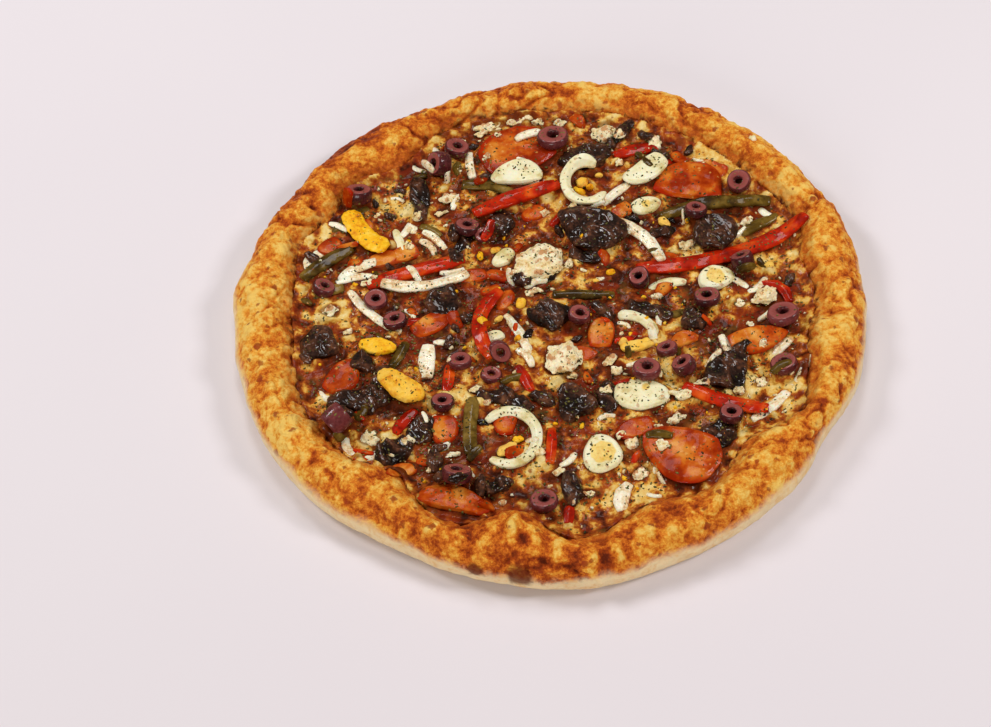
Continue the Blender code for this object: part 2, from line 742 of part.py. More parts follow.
def largest_island(mesh):
    """Fills sealed hollows and drops loose scraps: only the largest skin is kept."""
    builder = bmesh.new()
    builder.from_mesh(mesh)
    builder.verts.ensure_lookup_table()
    unseen = set(builder.verts)
    islands = []
    while unseen:
        waiting = [unseen.pop()]
        island = list(waiting)
        while waiting:
            for edge in waiting.pop().link_edges:
                for vertex in edge.verts:
                    if vertex in unseen:
                        unseen.remove(vertex)
                        waiting.append(vertex)
                        island.append(vertex)
        islands.append(island)
    islands.sort(key=len, reverse=True)
    for island in islands[1:]:
        bmesh.ops.delete(builder, geom=island, context="VERTS")
    builder.to_mesh(mesh)
    builder.free()
    return mesh


def cheese_with_bits(base):
    """The cheese layer and its small toppings as one solid."""
    bits = bpy.data.collections.new("bits")
    bpy.context.scene.collection.children.link(bits)
    for index, (vertices, faces) in enumerate(fused_pieces()):
        vertices = kept_off_rim(vertices)
        lifted = [(x, y, z + cheese_height(x, y)) for x, y, z in vertices]
        mesh = mesh_of(f"bit {index}", lifted, faces)
        bits.objects.link(bpy.data.objects.new(mesh.name, mesh))
    body = bpy.data.objects.new("cheese body", base)
    bpy.context.scene.collection.objects.link(body)
    union = body.modifiers.new("union", "BOOLEAN")
    union.operation = "UNION"
    union.operand_type = "COLLECTION"
    union.collection = bits
    union.solver = "MANIFOLD"
    joined = evaluated_mesh(body)
    for helper in list(bits.objects):
        bpy.data.objects.remove(helper)
    bpy.data.collections.remove(bits)
    return largest_island(joined)


def clear_scene():
    for obj in list(bpy.data.objects):
        bpy.data.objects.remove(obj)


def main():
    clear_scene()
    home = bpy.data.collections.new(OBJECT_NAME)
    bpy.context.scene.collection.children.link(home)
    ground = Ground()

    crust = crust_mesh()
    ground.add(*mesh_lists(crust))
    add_node("crust", crust, "crust")

    cheese = cheese_with_bits(cheese_mesh())
    ground.add(*mesh_lists(cheese))
    add_node("cheese_layer", cheese, "cheese")

    def place(name, kind, shape, blur=3, stiff=False):
        vertices, faces = shape
        mesh = mesh_of(name, [tuple(spot) for spot in draped(ground, vertices, blur, stiff)], faces)
        vertices, faces = mesh_lists(mesh)
        bpy.data.meshes.remove(mesh)
        spots = settled(ground, vertices, faces)
        ground.add(spots, faces)
        add_node(name, mesh_of(name, spots, faces), kind)

    for index, row in enumerate(TOMATOES):
        place(f"tomato_slice_{index + 1}", "tomato", slab_shape(row, SLAB_SIDES, 0, 400 + index))
    strips = (
        ("green_pepper", GREEN_STRIPS, 500),
        ("red_pepper", RED_STRIPS, 520),
        ("onion", ONION_STRIPS, 540),
    )
    for kind, rows, first in strips:
        for index, row in enumerate(rows):
            place(f"{kind}_strip_{index + 1}", kind, strip_shape(row, STRIP_STATIONS, 0, first + index))
    for index, row in enumerate(MUSHROOMS):
        place(f"mushroom_slice_{index + 1}", "mushroom", slab_shape(row, SLAB_SIDES, 0, 560 + index))
    for index, row in enumerate(EGG_SLICES):
        place(f"egg_slice_{index + 1}", "egg_white", slab_shape(row, SLAB_SIDES, 0, 600 + index))
    for index, row in enumerate(EGG_ARCS):
        place(f"egg_white_arc_{index + 1}", "egg_white", arc_shape(row, 0, 620 + index))
    for index, row in enumerate(YOLK_STRIPS):
        place(f"egg_yolk_{index + 1}", "egg_yolk", strip_shape(row, STRIP_STATIONS, 0, 640 + index))
    for index, row in enumerate(YOLK_PIECES):
        number = index + 1 + len(YOLK_STRIPS)
        place(f"egg_yolk_{number}", "egg_yolk", slab_shape(row, SLAB_SIDES, 0, 660 + index))
    for index, row in enumerate(CRUMBLES):
        place(f"white_cheese_{index + 1}", "white_cheese", lump_shape(row, 0, 680 + index, 2), 2, True)
    for index, row in enumerate(OLIVES):
        shape = olive_shape(row, OLIVE_SIDES, 0, 700 + index)
        place(f"olive_ring_{index + 1:02d}", "olive", shape, 2, True)


main()
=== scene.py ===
import math
import random

import bmesh
import bpy
import numpy as np
from mathutils import Matrix, Vector, noise
from mathutils.bvhtree import BVHTree


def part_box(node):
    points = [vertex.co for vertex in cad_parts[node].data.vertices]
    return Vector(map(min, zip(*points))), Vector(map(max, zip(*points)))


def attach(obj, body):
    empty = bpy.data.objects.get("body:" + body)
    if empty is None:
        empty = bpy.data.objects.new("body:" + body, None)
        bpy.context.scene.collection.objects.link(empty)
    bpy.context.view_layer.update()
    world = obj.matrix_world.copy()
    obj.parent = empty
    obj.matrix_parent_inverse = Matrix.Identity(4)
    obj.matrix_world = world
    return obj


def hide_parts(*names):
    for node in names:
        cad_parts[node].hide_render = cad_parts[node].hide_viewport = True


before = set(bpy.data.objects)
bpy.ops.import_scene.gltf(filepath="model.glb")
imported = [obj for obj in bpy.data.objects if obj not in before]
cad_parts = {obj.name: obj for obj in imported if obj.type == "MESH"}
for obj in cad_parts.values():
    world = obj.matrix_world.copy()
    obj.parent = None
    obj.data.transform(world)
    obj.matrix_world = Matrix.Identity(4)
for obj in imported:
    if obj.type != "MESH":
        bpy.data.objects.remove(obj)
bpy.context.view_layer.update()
mm = 0.001  # shapes are worked out in millimetres and the finished meshes are in metres

photoView = {
    "elevation": 52.911,  # degrees over the table
    "distance": 1.01874,
    "target": (-0.03204, -0.02812, 0.0),
    "roll": -5.316,
    "lens": 67.18,  # 30 degrees across on a 36 mm sensor
}


def aimCamera(view):
    camera = bpy.data.objects.new("camera", bpy.data.cameras.new("camera"))
    bpy.context.scene.collection.objects.link(camera)
    camera.data.lens = view["lens"]
    camera.data.sensor_width = 36
    camera.data.clip_start = 0.01
    rise, roll = math.radians(view["elevation"]), math.radians(view["roll"])
    back = Vector((0, -math.cos(rise), math.sin(rise)))
    right = Vector((1, 0, 0))
    up = right.cross(-back)
    turnedRight = math.cos(roll) * right + math.sin(roll) * up
    turnedUp = -math.sin(roll) * right + math.cos(roll) * up
    place = Matrix((turnedRight, turnedUp, back)).transposed().to_4x4()
    place.translation = Vector(view["target"]) + back * view["distance"]
    camera.matrix_world = place
    bpy.context.scene.camera = camera


aimCamera(photoView)
bpy.context.scene.view_settings.view_transform = "Standard"
print("camera placed")


def tint(red, green, blue):
    # a colour as a picture editor shows it, turned into the light that a shader works with
    def linear(value):
        share = value / 255
        return share / 12.92 if share <= 0.04045 else ((share + 0.055) / 1.055) ** 2.4
    return linear(red), linear(green), linear(blue), 1.0


class Link:
    # one output of a node, so that sums can be written with it
    def __init__(self, board, socket):
        self.board = board
        self.socket = socket

    def sum(self, operation, first, second):
        return self.board.add("ShaderNodeMath", {"operation": operation}, {0: first, 1: second})

    def __add__(self, other):
        return self.sum("ADD", self, other)

    def __radd__(self, other):
        return self.sum("ADD", other, self)

    def __sub__(self, other):
        return self.sum("SUBTRACT", self, other)

    def __rsub__(self, other):
        return self.sum("SUBTRACT", other, self)

    def __mul__(self, other):
        return self.sum("MULTIPLY", self, other)

    def __rmul__(self, other):
        return self.sum("MULTIPLY", other, self)

    def between(self, low, high):
        # 0 at low and 1 at high, smooth in between
        sockets = {"Value": self, "From Min": low, "From Max": high}
        return self.board.add("ShaderNodeMapRange", {"interpolation_type": "SMOOTHSTEP"}, sockets)

    def other(self, name):
        # another output of the same node
        return Link(self.board, self.socket.node.outputs[name])


class Board:
    # a node tree, with one method that adds any node
    def __init__(self, tree):
        self.tree = tree

    def add(self, kind, settings=None, sockets=None, output=0):
        made = self.tree.nodes.new(kind)
        for name, value in (settings or {}).items():
            if name == "stops":
                ramp = made.color_ramp
                while len(ramp.elements) < len(value):
                    ramp.elements.new(0.5)
                for element, (position, colour) in zip(ramp.elements, value):
                    element.position = position
                    element.color = colour
            else:
                setattr(made, name, value)
        for key, value in (sockets or {}).items():
            if isinstance(value, Link):
                self.tree.links.new(value.socket, made.inputs[key])
            else:
                made.inputs[key].default_value = value
        return Link(self, made.outputs[output]) if made.outputs else None


class Finish(Board):
    # a material whose patterns lie on Object coordinates or on a piece's own marks
    def __init__(self, name, constants):
        self.material = bpy.data.materials.new(name)
        self.material.use_nodes = True
        super().__init__(self.material.node_tree)
        self.shader = self.tree.nodes["Principled BSDF"]
        for key, value in constants.items():
            self.shader.inputs[key].default_value = value
        self.place = self.add("ShaderNodeTexCoord", output=3)

    def cloud(self, size, detail=3.0, rough=0.55, warp=0.0):
        # soft noise with patches about as wide as size, in millimetres
        sockets = {"Vector": self.place, "Scale": 1000 / size, "Detail": detail}
        return self.add("ShaderNodeTexNoise", None, {**sockets, "Roughness": rough, "Distortion": warp})

    def cells(self, size):
        # distance from the middle of irregular grains
        return self.add("ShaderNodeTexVoronoi", None, {"Vector": self.place, "Scale": 1000 / size})

    def spots(self, size, share, reach):
        # uneven dots in a share of the grains
        grains = self.cells(size)
        picked = self.add("ShaderNodeSeparateColor", None, {0: grains.other("Color")})
        near = grains + self.cloud(size * 0.35, 2) * 0.6 - 0.3
        return near.between(reach + 0.07, reach - 0.07) * picked.between(share + 0.02, share - 0.02)

    def mark(self, name):
        return self.add("ShaderNodeAttribute", {"attribute_name": name}, None, 2)

    def blend(self, share, first, second):
        return self.add("ShaderNodeMix", {"data_type": "RGBA"}, {0: share, 6: first, 7: second}, 2)

    def ramp(self, share, *stops):
        return self.add("ShaderNodeValToRGB", {"stops": stops}, {0: share})

    def axis(self, index):
        # how far along x, y or z, in millimetres
        return self.add("ShaderNodeSeparateXYZ", None, {0: self.place}, index) * (1 / mm)

    def finished(self, colour, roughness, relief, depth):
        bump = self.add("ShaderNodeBump", None, {"Height": relief, "Distance": depth * mm, "Strength": 1.0})
        for key, value in (("Base Color", colour), ("Roughness", roughness), ("Normal", bump)):
            self.tree.links.new(value.socket, self.shader.inputs[key])
        return self.material


def roughAt(points, size, shift=0.0):
    # smooth noise from -1 to 1 at many points
    return np.array([noise.noise(spot) for spot in (points / size + shift).tolist()])


def grainsAt(points, size, shift=0.0):
    # 1 in the middle of each grain, about 0 between them
    return np.array([1 - 1.6 * noise.voronoi(spot)[0][0] for spot in (points / size + shift).tolist()])


def addMark(mesh, name, values):
    mesh.attributes.new(name, "FLOAT", "POINT")
    mesh.attributes[name].data.foreach_set("value", np.asarray(values, np.float32))


def newMesh(name, points, faces, marks=None):
    mesh = bpy.data.meshes.new(name)
    mesh.from_pydata(np.asarray(points).tolist(), [], faces)
    mesh.update()
    for key, values in (marks or {}).items():
        addMark(mesh, key, values)
    return mesh


def newObject(name, data):
    made = bpy.data.objects.new(name, data)
    bpy.context.scene.collection.objects.link(made)
    return made


def evaluatedMesh(obj):
    graph = bpy.context.evaluated_depsgraph_get()
    return bpy.data.meshes.new_from_object(obj.evaluated_get(graph))


def pointsOf(mesh):
    spots = np.empty(len(mesh.vertices) * 3, np.float32)
    mesh.vertices.foreach_get("co", spots)
    return spots.reshape(-1, 3).astype(float)


def normalsOf(mesh):
    found = np.empty(len(mesh.vertices) * 3, np.float32)
    mesh.vertex_normals.foreach_get("vector", found)
    return found.reshape(-1, 3).astype(float)


def facesOf(mesh):
    return [tuple(face.vertices) for face in mesh.polygons]


def softened(shape, levels, crease=0.0, roundOutline=False, sharp=0.5):
    # a coarse shape rounded by subdivision, less so at corners of more than sharp radians; its marks are
    # carried over
    mesh = newMesh("soft", *shape)
    builder = bmesh.new()
    builder.from_mesh(mesh)
    layer = builder.edges.layers.float.new("crease_edge")
    for side in builder.edges:
        along = side.verts[0].co - side.verts[1].co
        isFlat = abs(along.z) < 0.6 * along.length
        side[layer] = crease if side.calc_face_angle(0) > sharp and (isFlat or not roundOutline) else 0.0
    builder.to_mesh(mesh)
    builder.free()
    obj = newObject("soft", mesh)
    rounding = obj.modifiers.new("rounding", "SUBSURF")
    rounding.levels = levels
    rounding.render_levels = levels
    mesh = evaluatedMesh(obj)
    bpy.data.objects.remove(obj)
    return mesh


def outward(points):
    # 0 in the middle of a piece and 1 at its edge, seen from above
    flat = points[:, :2] - points[:, :2].mean(axis=0)
    along = flat @ np.linalg.eigh(np.cov(flat.T))[1]
    return np.hypot(*(along / np.abs(along).max(axis=0)).T)


def joined(shapes):
    # several shapes as one, each with its own tone
    points, faces, marks, start = [], [], {}, 0
    draw = random.Random(3)
    for spots, sides, extra in shapes:
        faces += [tuple(corner + start for corner in side) for side in sides]
        start += len(spots)
        points.append(spots)
        own = {"out": outward(spots), "tone": np.full(len(spots), draw.random()), **extra}
        for key, values in own.items():
            marks.setdefault(key, []).append(values)
    return np.concatenate(points), faces, {key: np.concatenate(values) for key, values in marks.items()}


def facedOut(mesh):
    builder = bmesh.new()
    builder.from_mesh(mesh)
    bmesh.ops.recalc_face_normals(builder, faces=builder.faces)
    builder.to_mesh(mesh)
    builder.free()
    return mesh


def addPiece(name, mesh, slot, material, *nodes):
    # a finished mesh in millimetres becomes a piece of the object, in metres
    mesh.transform(Matrix.Scale(mm, 4))
    mesh.name = name
    mesh.materials.clear()
    mesh.materials.append(material)
    mesh.polygons.foreach_set("use_smooth", [True] * len(mesh.polygons))
    mesh.update()
    piece = newObject(name, mesh)
    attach(piece, "root")
    if nodes:
        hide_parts(*nodes)
    print(name, len(mesh.polygons), "faces")


def cadShape(name):
    # the solid of a CAD node, in millimetres, with its corners joined again
    builder = bmesh.new()
    builder.from_mesh(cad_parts[name].data)
    bmesh.ops.remove_doubles(builder, verts=builder.verts, dist=0.01 * mm)
    points = np.array([vertex.co for vertex in builder.verts]) / mm
    faces = [tuple(vertex.index for vertex in face.verts) for face in builder.faces]
    builder.free()
    return points, faces


def treeOf(points, faces):
    return BVHTree.FromPolygons(np.asarray(points).tolist(), faces, epsilon=0.0)


def seeded(first, *rows):
    # rows of one kind, each with a seed in front: the first one's, and one more for each row after it
    return [(first + number, *row) for number, row in enumerate(rows)]


def numbered(stem, count, digits=1):
    return [f"{stem}_{number + 1:0{digits}d}" for number in range(count)]


# where the cheese ends and how high it stands, as in the solids
base = {
    "innerRadius": 145.0,
    "cheeseHeight": 13.3,
    "cheeseWave": 0.8,
    "sink": 1.6,  # how far the small toppings reach down into the cheese
    "offRim": 1.8,
    "innerPushes": (  # bearing in degrees, how far the edge is pushed out, half the width of the push
        (5, -4, 4), (16, 5, 9), (48, 0.5, 8), (94, -1, 15), (124, -11, 9), (147, -5, 6), (158, 2, 5),
        (169, -3, 6), (183, -5, 9), (205, 2, 8), (230, -9, 5), (245, 6, 6), (258, -8, 5), (272, 10, 6),
        (286, -3, 5), (298, 4, 6), (312, -6, 6), (325, 8, 7), (344, -3, 5),
    ),
}


def pushed(bearing, pushes):
    # smooth pushes added up round the pizza
    total = 0.0
    for centre, amount, width in pushes:
        away = (bearing - centre + 180) % 360 - 180
        total = total + amount * np.exp(-((away / width) ** 2))
    return total


def innerRadius(x, y):
    return base["innerRadius"] + pushed(np.degrees(np.arctan2(y, x)), base["innerPushes"])


def cheeseHeight(x, y):
    share = np.hypot(x, y) / innerRadius(x, y)
    flat = np.column_stack((x / 23, y / 23, np.full(len(x), 3.7)))
    return base["cheeseHeight"] + base["cheeseWave"] * roughAt(flat, 1) + np.maximum(0, (share - 0.9) / 0.1)


def keptOffRim(points):
    # moves a piece towards the middle until it is clear of the rim
    points = np.array(points, float)
    while True:
        x, y = points[:, :2].T
        if (np.hypot(x, y) <= innerRadius(x, y) - base["offRim"]).all():
            return points
        middle = points.mean(axis=0)[:2]
        points[:, :2] -= middle / math.hypot(*middle)


def blurred(grid, times):
    for _ in range(times):
        padded = np.pad(grid, 1, mode="edge")
        rows, columns = grid.shape
        grid = sum(padded[a:a + rows, b:b + columns] for a in range(3) for b in range(3)) / 9
    return grid


def gridFaces(inside):
    # squares between the chosen points of a grid
    index = np.full(inside.shape, -1)
    index[inside] = np.arange(inside.sum())
    corners = (index[:-1, :-1], index[1:, :-1], index[1:, 1:], index[:-1, 1:])
    corners = np.stack(corners, axis=2).reshape(-1, 4)
    return [tuple(face) for face in corners[(corners >= 0).all(axis=1)].tolist()]


class Heap:
    # the height of all that lies on the pizza, and of the undersides of the toppings, on a square grid
    cell = 1.0
    reach = 181.0

    def __init__(self):
        self.across = np.arange(int(2 * self.reach / self.cell) + 1) * self.cell - self.reach
        self.top = np.zeros((len(self.across), len(self.across)))
        self.under = np.full(self.top.shape, np.inf)

    def window(self, points, margin):
        low = ((points.min(axis=0)[:2] - margin + self.reach) / self.cell).astype(int)
        high = ((points.max(axis=0)[:2] + margin + self.reach) / self.cell).astype(int) + 1
        return np.clip(low, 0, len(self.top) - 1), np.clip(high, 1, len(self.top))

    def cast(self, points, faces, start, way):
        # where rays along z meet a shape
        tree = treeOf(points, faces)
        low, high = self.window(points, 0)
        for i in range(low[0], high[0]):
            for j in range(low[1], high[1]):
                found = tree.ray_cast(Vector((self.across[i], self.across[j], start)), Vector((0, 0, way)))[0]
                if found is not None:
                    yield i, j, found.z

    def add(self, points, faces):
        for i, j, height in self.cast(points, faces, 90, -1):
            self.top[i, j] = max(self.top[i, j], height)

    def cover(self, points, faces):
        for i, j, height in self.cast(points, faces, -9, 1):
            self.under[i, j] = min(self.under[i, j], height)

    def heightAt(self, grid, x, y, low=(0, 0)):
        i = np.clip((x + self.reach) / self.cell - low[0], 0, grid.shape[0] - 1.001)
        j = np.clip((y + self.reach) / self.cell - low[1], 0, grid.shape[1] - 1.001)
        iLow, jLow = i.astype(int), j.astype(int)
        near = grid[iLow, jLow] * (1 - j + jLow) + grid[iLow, jLow + 1] * (j - jLow)
        far = grid[iLow + 1, jLow] * (1 - j + jLow) + grid[iLow + 1, jLow + 1] * (j - jLow)
        return near * (1 - i + iLow) + far * (i - iLow)

    def draped(self, points, stiff=False, sink=0.4):
        # lays a flat-bottomed shape on the heap: a soft one bends, and a stiff one tilts
        points = np.array(points, float)
        low, high = self.window(points, 5)
        grid = blurred(self.top[low[0]:high[0], low[1]:high[1]], 2)
        below = self.heightAt(grid, points[:, 0], points[:, 1], low)
        if stiff:
            offset = points[:, :2] - points[:, :2].mean(axis=0)
            terms = np.column_stack((offset, np.ones(len(points))))
            slopeX, slopeY, level = np.linalg.lstsq(terms, below, rcond=None)[0]
            steep = max(1.0, math.hypot(slopeX, slopeY) / 0.5)
            below = level + offset @ np.array((slopeX, slopeY)) / steep
        points[:, 2] += below - sink
        return points


heap = Heap()


def turnedFlat(points, x, y, degrees):
    cosine, sine = math.cos(math.radians(degrees)), math.sin(math.radians(degrees))
    return [(x + px * cosine - py * sine, y + px * sine + py * cosine) for px, py in points]


def sliceOutline(shape, length, width, sides, seed):
    draw = random.Random(seed)
    phase = draw.uniform(0, 6)
    points = []
    for step in range(sides):
        turn = 2 * math.pi * step / sides
        x, y = math.cos(turn), math.sin(turn)
        if shape == "block":
            power = (abs(x) ** 3.4 + abs(y) ** 3.4) ** (-1 / 3.4)
            x, y = x * power, y * power * (1 + 0.14 * x)
        elif shape == "half":
            y = max(y, -0.34) * 1.35 - 0.3
        elif shape == "cap":
            pinch = 0.34 * max(0.0, min(1.0, (-y - 0.1) / 0.5))
            x = x * (1 - pinch) + 0.08 * y
        wobble = 1 + 0.07 * math.sin(3 * turn + phase) + draw.uniform(-0.05, 0.05)
        points.append((x * length / 2 * wobble, y * width / 2 * wobble))
    return points


def sliceShape(row, low=0.0, sides=8):
    seed, x, y, length, width, turn, thickness, shape = row
    draw = random.Random(seed + 5)
    edge = sliceOutline(shape, length, width, sides, seed)
    wrinkle = 0.22 if shape == "cap" else 0.06
    rings = (  # share of the outline, height, roughness
        (0.9, low, 0), (1.0, thickness * 0.5, 0),
        (0.88, thickness * 0.92, wrinkle), (0.45, thickness, wrinkle),
    )
    points = []
    for share, height, rough in rings:
        for px, py in turnedFlat([(a * share, b * share) for a, b in edge], x, y, turn):
            points.append((px, py, height + rough * thickness * draw.uniform(-1, 1)))
    faces = [tuple(reversed(range(sides)))]
    for start in range(0, (len(rings) - 1) * sides, sides):
        for step in range(sides):
            after = (step + 1) % sides
            faces.append((start + step, start + after, start + sides + after, start + sides + step))
    centre = np.mean([point[:2] for point in points[-sides:]], axis=0)
    points.append((*centre, thickness * (0.8 if shape == "cap" else 1.05)))
    start = (len(rings) - 1) * sides
    faces += [(start + step, start + (step + 1) % sides, len(points) - 1) for step in range(sides)]
    return np.array(points), faces


def stripShape(row, low=0.0, stations=4):
    seed, x, y, length, width, turn, thickness, bow = row
    path = []
    for index in range(stations):
        along = 2 * index / (stations - 1) - 1
        path.append((along * length / 2, bow * (0.55 - along * along)))
    path = turnedFlat(path, x, y, turn)
    draw = random.Random(seed + 9)
    points = []
    for index, (x, y) in enumerate(path):
        before, after = path[max(index - 1, 0)], path[min(index + 1, stations - 1)]
        along = Vector((after[0] - before[0], after[1] - before[1])).normalized()
        atEnd = index in (0, stations - 1)
        half = width / 2 * (0.66 if atEnd else 1.0) * (1 + draw.uniform(-0.07, 0.07))
        high = thickness * (0.8 if atEnd else 1.0) * (1 + draw.uniform(-0.08, 0.08))
        for side, height in ((0.8, low), (1.0, high * 0.55), (0.15, high), (-1.0, high * 0.7), (-0.8, low)):
            points.append((x - along.y * half * side, y + along.x * half * side, height))
    faces = [tuple(reversed(range(5))), tuple((stations - 1) * 5 + side for side in range(5))]
    for start in range(0, (stations - 1) * 5, 5):
        for side in range(5):
            after = (side + 1) % 5
            faces.append((start + side, start + after, start + 5 + after, start + 5 + side))
    return np.array(points), faces


def lumpShape(row, low=0.0, detail=1):
    seed, x, y, length, width, turn, height = row
    builder = bmesh.new()
    bmesh.ops.create_icosphere(builder, subdivisions=detail, radius=1.0)
    points = []
    shift = Vector((seed * 1.7, seed * 0.9, 0.5))
    for vertex in builder.verts:
        swell = 1 + 0.26 * noise.noise(vertex.co * 1.6 + shift)
        spot = (vertex.co.x * swell * length / 2, vertex.co.y * swell * width / 2)
        rise = max(vertex.co.z, -0.45) * swell
        points.append((*turnedFlat([spot], x, y, turn)[0], low + (height - low) * (rise + 0.45) / 1.45))
    faces = [tuple(vertex.index for vertex in face.verts) for face in builder.faces]
    builder.free()
    return np.array(points), faces


def inCheese(shape):
    # a small topping that is one with the cheese in the solids
    points = keptOffRim(shape[0])
    points[:, 2] += cheeseHeight(points[:, 0], points[:, 1])
    return (points, *shape[1:])


def shapesOf(group):
    # all shapes of one kind: its CAD nodes, the small ones in the cheese, and the loose ones on top
    sink = -base["sink"]
    shapes = [cadShape(name) for name in group["nodes"]]
    shapes += [inCheese(sliceShape(row, sink)) for row in group.get("slices", ())]
    shapes += [inCheese(stripShape(row, sink)) for row in group.get("strips", ())]
    shapes += [inCheese(lumpShape(row, sink)) for row in group.get("lumps", ())]
    loose = [stripShape(row, 0, 6) for row in group.get("looseStrips", ())]
    loose += [sliceShape(row, -0.4) for row in group.get("looseSlices", ())]
    loose += [lumpShape(row, -0.5) for row in group.get("looseLumps", ())]
    shapes += [(heap.draped(points), faces) for points, faces in loose]
    for points, faces in shapes:
        heap.cover(points, faces)
    return [(points, faces, {}) for points, faces in shapes]


def addTopping(name, group, carve, slot, material, levels=3):
    # all pieces of one kind, rounded, their surface moved by carve, which may also leave marks
    crease, roundOutline = group.get("crease", 0.0), "slices" in group
    mesh = softened(joined(shapesOf(group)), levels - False, crease, roundOutline)
    points, marks = carve(pointsOf(mesh), normalsOf(mesh))
    mesh.vertices.foreach_set("co", points.astype(np.float32).ravel())
    for key, values in marks.items():
        addMark(mesh, key, values)
    mesh.update()
    heap.add(pointsOf(mesh), facesOf(mesh))
    addPiece(name, mesh, slot, material, *group["nodes"])


def rippledBy(look):
    # a way to carve that only swells and ripples a surface
    def carve(points, normals):
        depth = np.full(len(points), look["swell"])
        for size, high, shift in look["ripples"]:
            depth += high * roughAt(points, size, shift)
        return points + normals * depth[:, None], {}
    return carve


cheeseShades = {  # from sauce and oil in the hollows to melted cheese on the peaks
    "stops": (
        (0.10, tint(60, 20, 5)), (0.28, tint(118, 46, 12)), (0.41, tint(174, 88, 24)),
        (0.52, tint(222, 166, 66)), (0.65, tint(232, 198, 116)), (0.88, tint(240, 222, 162)),
    ),
    "speck": tint(148, 70, 26),
    "green": tint(134, 98, 34),
    "red": tint(156, 48, 16),
}


def cheeseColour(finish, melted):
    fine = finish.cloud(1.9, 4, 0.65)
    blot = finish.cloud(6, 4, 0.6, 0.5)
    share = melted * 0.62 + (fine - 0.5) * 0.46 + (blot - 0.5) * 0.85 + 0.1
    colour = finish.ramp(share, *cheeseShades["stops"])
    green = finish.cloud(9, 3, 0.6).between(0.54, 0.66)
    colour = finish.blend(green * 0.3, colour, cheeseShades["green"])
    red = finish.cloud(16, 3, 0.55, 0.5).between(0.50, 0.58) * melted.between(0.75, 0.35)
    colour = finish.blend(red * 0.4, colour, cheeseShades["red"])
    return finish.blend(finish.spots(5, 0.4, 0.2) * 0.75, colour, cheeseShades["speck"])


crustLook = {
    "steps": 1140,  # points round the rim
    "stations": 84,  # points over its section
    "spineHeight": 11.0,  # of the ring inside the rim from which its section is measured
    "lastAngle": 236.0,  # where the section ends, at the outer foot
    "insideAt": 16.5,  # heights at which the two sides of the rim are found
    "outsideAt": 10.0,
    "lumps": ((14.0, 1.1), (7.0, 1.15), (3.4, 0.75)),  # size and height of soft bumps
    "blisters": (6.0, 1.1),
    "grain": (2.2, 0.34),
    "creases": (12.0, 1.9),
    "bulges": ((-103, -104, 11, 2.0), (-30, -148, 10, 2.6), (146, 24, 10, 1.8), (-125, 95, 12, 1.0)),
    "settled": 0.45,  # how far the whole surface is let down, so that its lumps stay level with the solid
    "bake": (  # bearing, amount and half width of a darker or a paler stretch
        (125, 0.10, 22), (258, 0.12, 20), (290, 0.07, 14), (185, -0.07, 25), (20, -0.04, 25), (60, 0.08, 16),
    ),
    "scorches": ((-30, -172, 7), (-52, -166, 4), (-70, 150, 5), (22, 168, 4)),  # x, y, reach of a dark patch
    "crisp": ((126, 0.28, 20), (8, 0.10, 14), (262, 0.06, 10)),  # stretches with a browned outer edge
    "knuckles": (262, 26, 13.5, 1.5),  # bearing, half width, distance between ridges, height
    "tray": (0.975, 8.0),  # the floor inside the rim, under the cheese: share of its radius, height
    "light": tint(255, 210, 108),
    "golden": tint(246, 172, 60),
    "orange": tint(224, 120, 32),
    "brown": tint(172, 70, 18),
    "dark": tint(104, 38, 14),
    "fleck": tint(158, 60, 24),
    "oily": tint(196, 98, 32),
    "underside": ((0.35, tint(226, 184, 128)), (0.6, tint(190, 124, 62))),
    "floury": ((0.36, tint(242, 200, 142)), (0.52, tint(255, 234, 188))),
}


def rimSection(look):
    # how far the surface of the solid lies from a ring inside the rim
    tree = treeOf(*cadShape("crust"))
    steps, stations = look["steps"] // (1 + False), look["stations"] // (1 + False)
    angles = np.radians(np.linspace(0, look["lastAngle"], stations))
    middle, distance = np.empty(steps), np.empty((steps, stations))
    turns = 2 * np.pi * np.arange(steps) / steps
    for step, turn in enumerate(turns):
        out = Vector((math.cos(turn), math.sin(turn), 0))
        inside = tree.ray_cast(Vector((0, 0, look["insideAt"])), out)[0]
        outside = tree.ray_cast(out * 260 + Vector((0, 0, look["outsideAt"])), -out)[0]
        middle[step] = (inside.xy.length + outside.xy.length) / 2
        spine = out * middle[step] + Vector((0, 0, look["spineHeight"]))
        for station, angle in enumerate(angles):
            found = tree.ray_cast(spine, -math.cos(angle) * out + Vector((0, 0, math.sin(angle))))[0]
            distance[step, station] = (found - spine).length
    for _ in range(5):  # the flat facets are rounded off
        distance = sum(np.roll(distance, shift, axis=0) for shift in range(-2, 3)) / 5
        padded = np.pad(distance, ((0, 0), (1, 1)), mode="edge")
        distance = (padded[:, :-2] + padded[:, 1:-1] + padded[:, 2:]) / 3
    return turns, angles, middle, distance


def rimBumps(look, spots, around, edge):
    bumps = sum(high * roughAt(spots, size, index * 7.3) for index, (size, high) in enumerate(look["lumps"]))
    size, high = look["blisters"]
    bumps += high * np.maximum(grainsAt(spots, size), -0.1) * (0.6 + 0.8 * roughAt(spots, 24, 5.5))
    size, high = look["grain"]
    bumps += high * roughAt(spots, size, 3.1)
    size, high = look["creases"]
    lines = np.clip(1 - 5 * np.abs(roughAt(spots, size, 3.3)), 0, 1)
    bumps -= high * lines * np.clip(0.35 + 2 * roughAt(spots, 34, 9.0), 0, 1)
    bearing, width, apart, high = look["knuckles"]
    radius = base["innerRadius"] + 20
    ridges = np.sin(np.radians(around) * radius * 2 * np.pi / apart + 2.5 * roughAt(spots, 15, 2.1))
    band = pushed(around, ((bearing, 1.0, width),)) * np.exp(-(((edge - 19) / 8) ** 2))
    return bumps + high * ridges * band


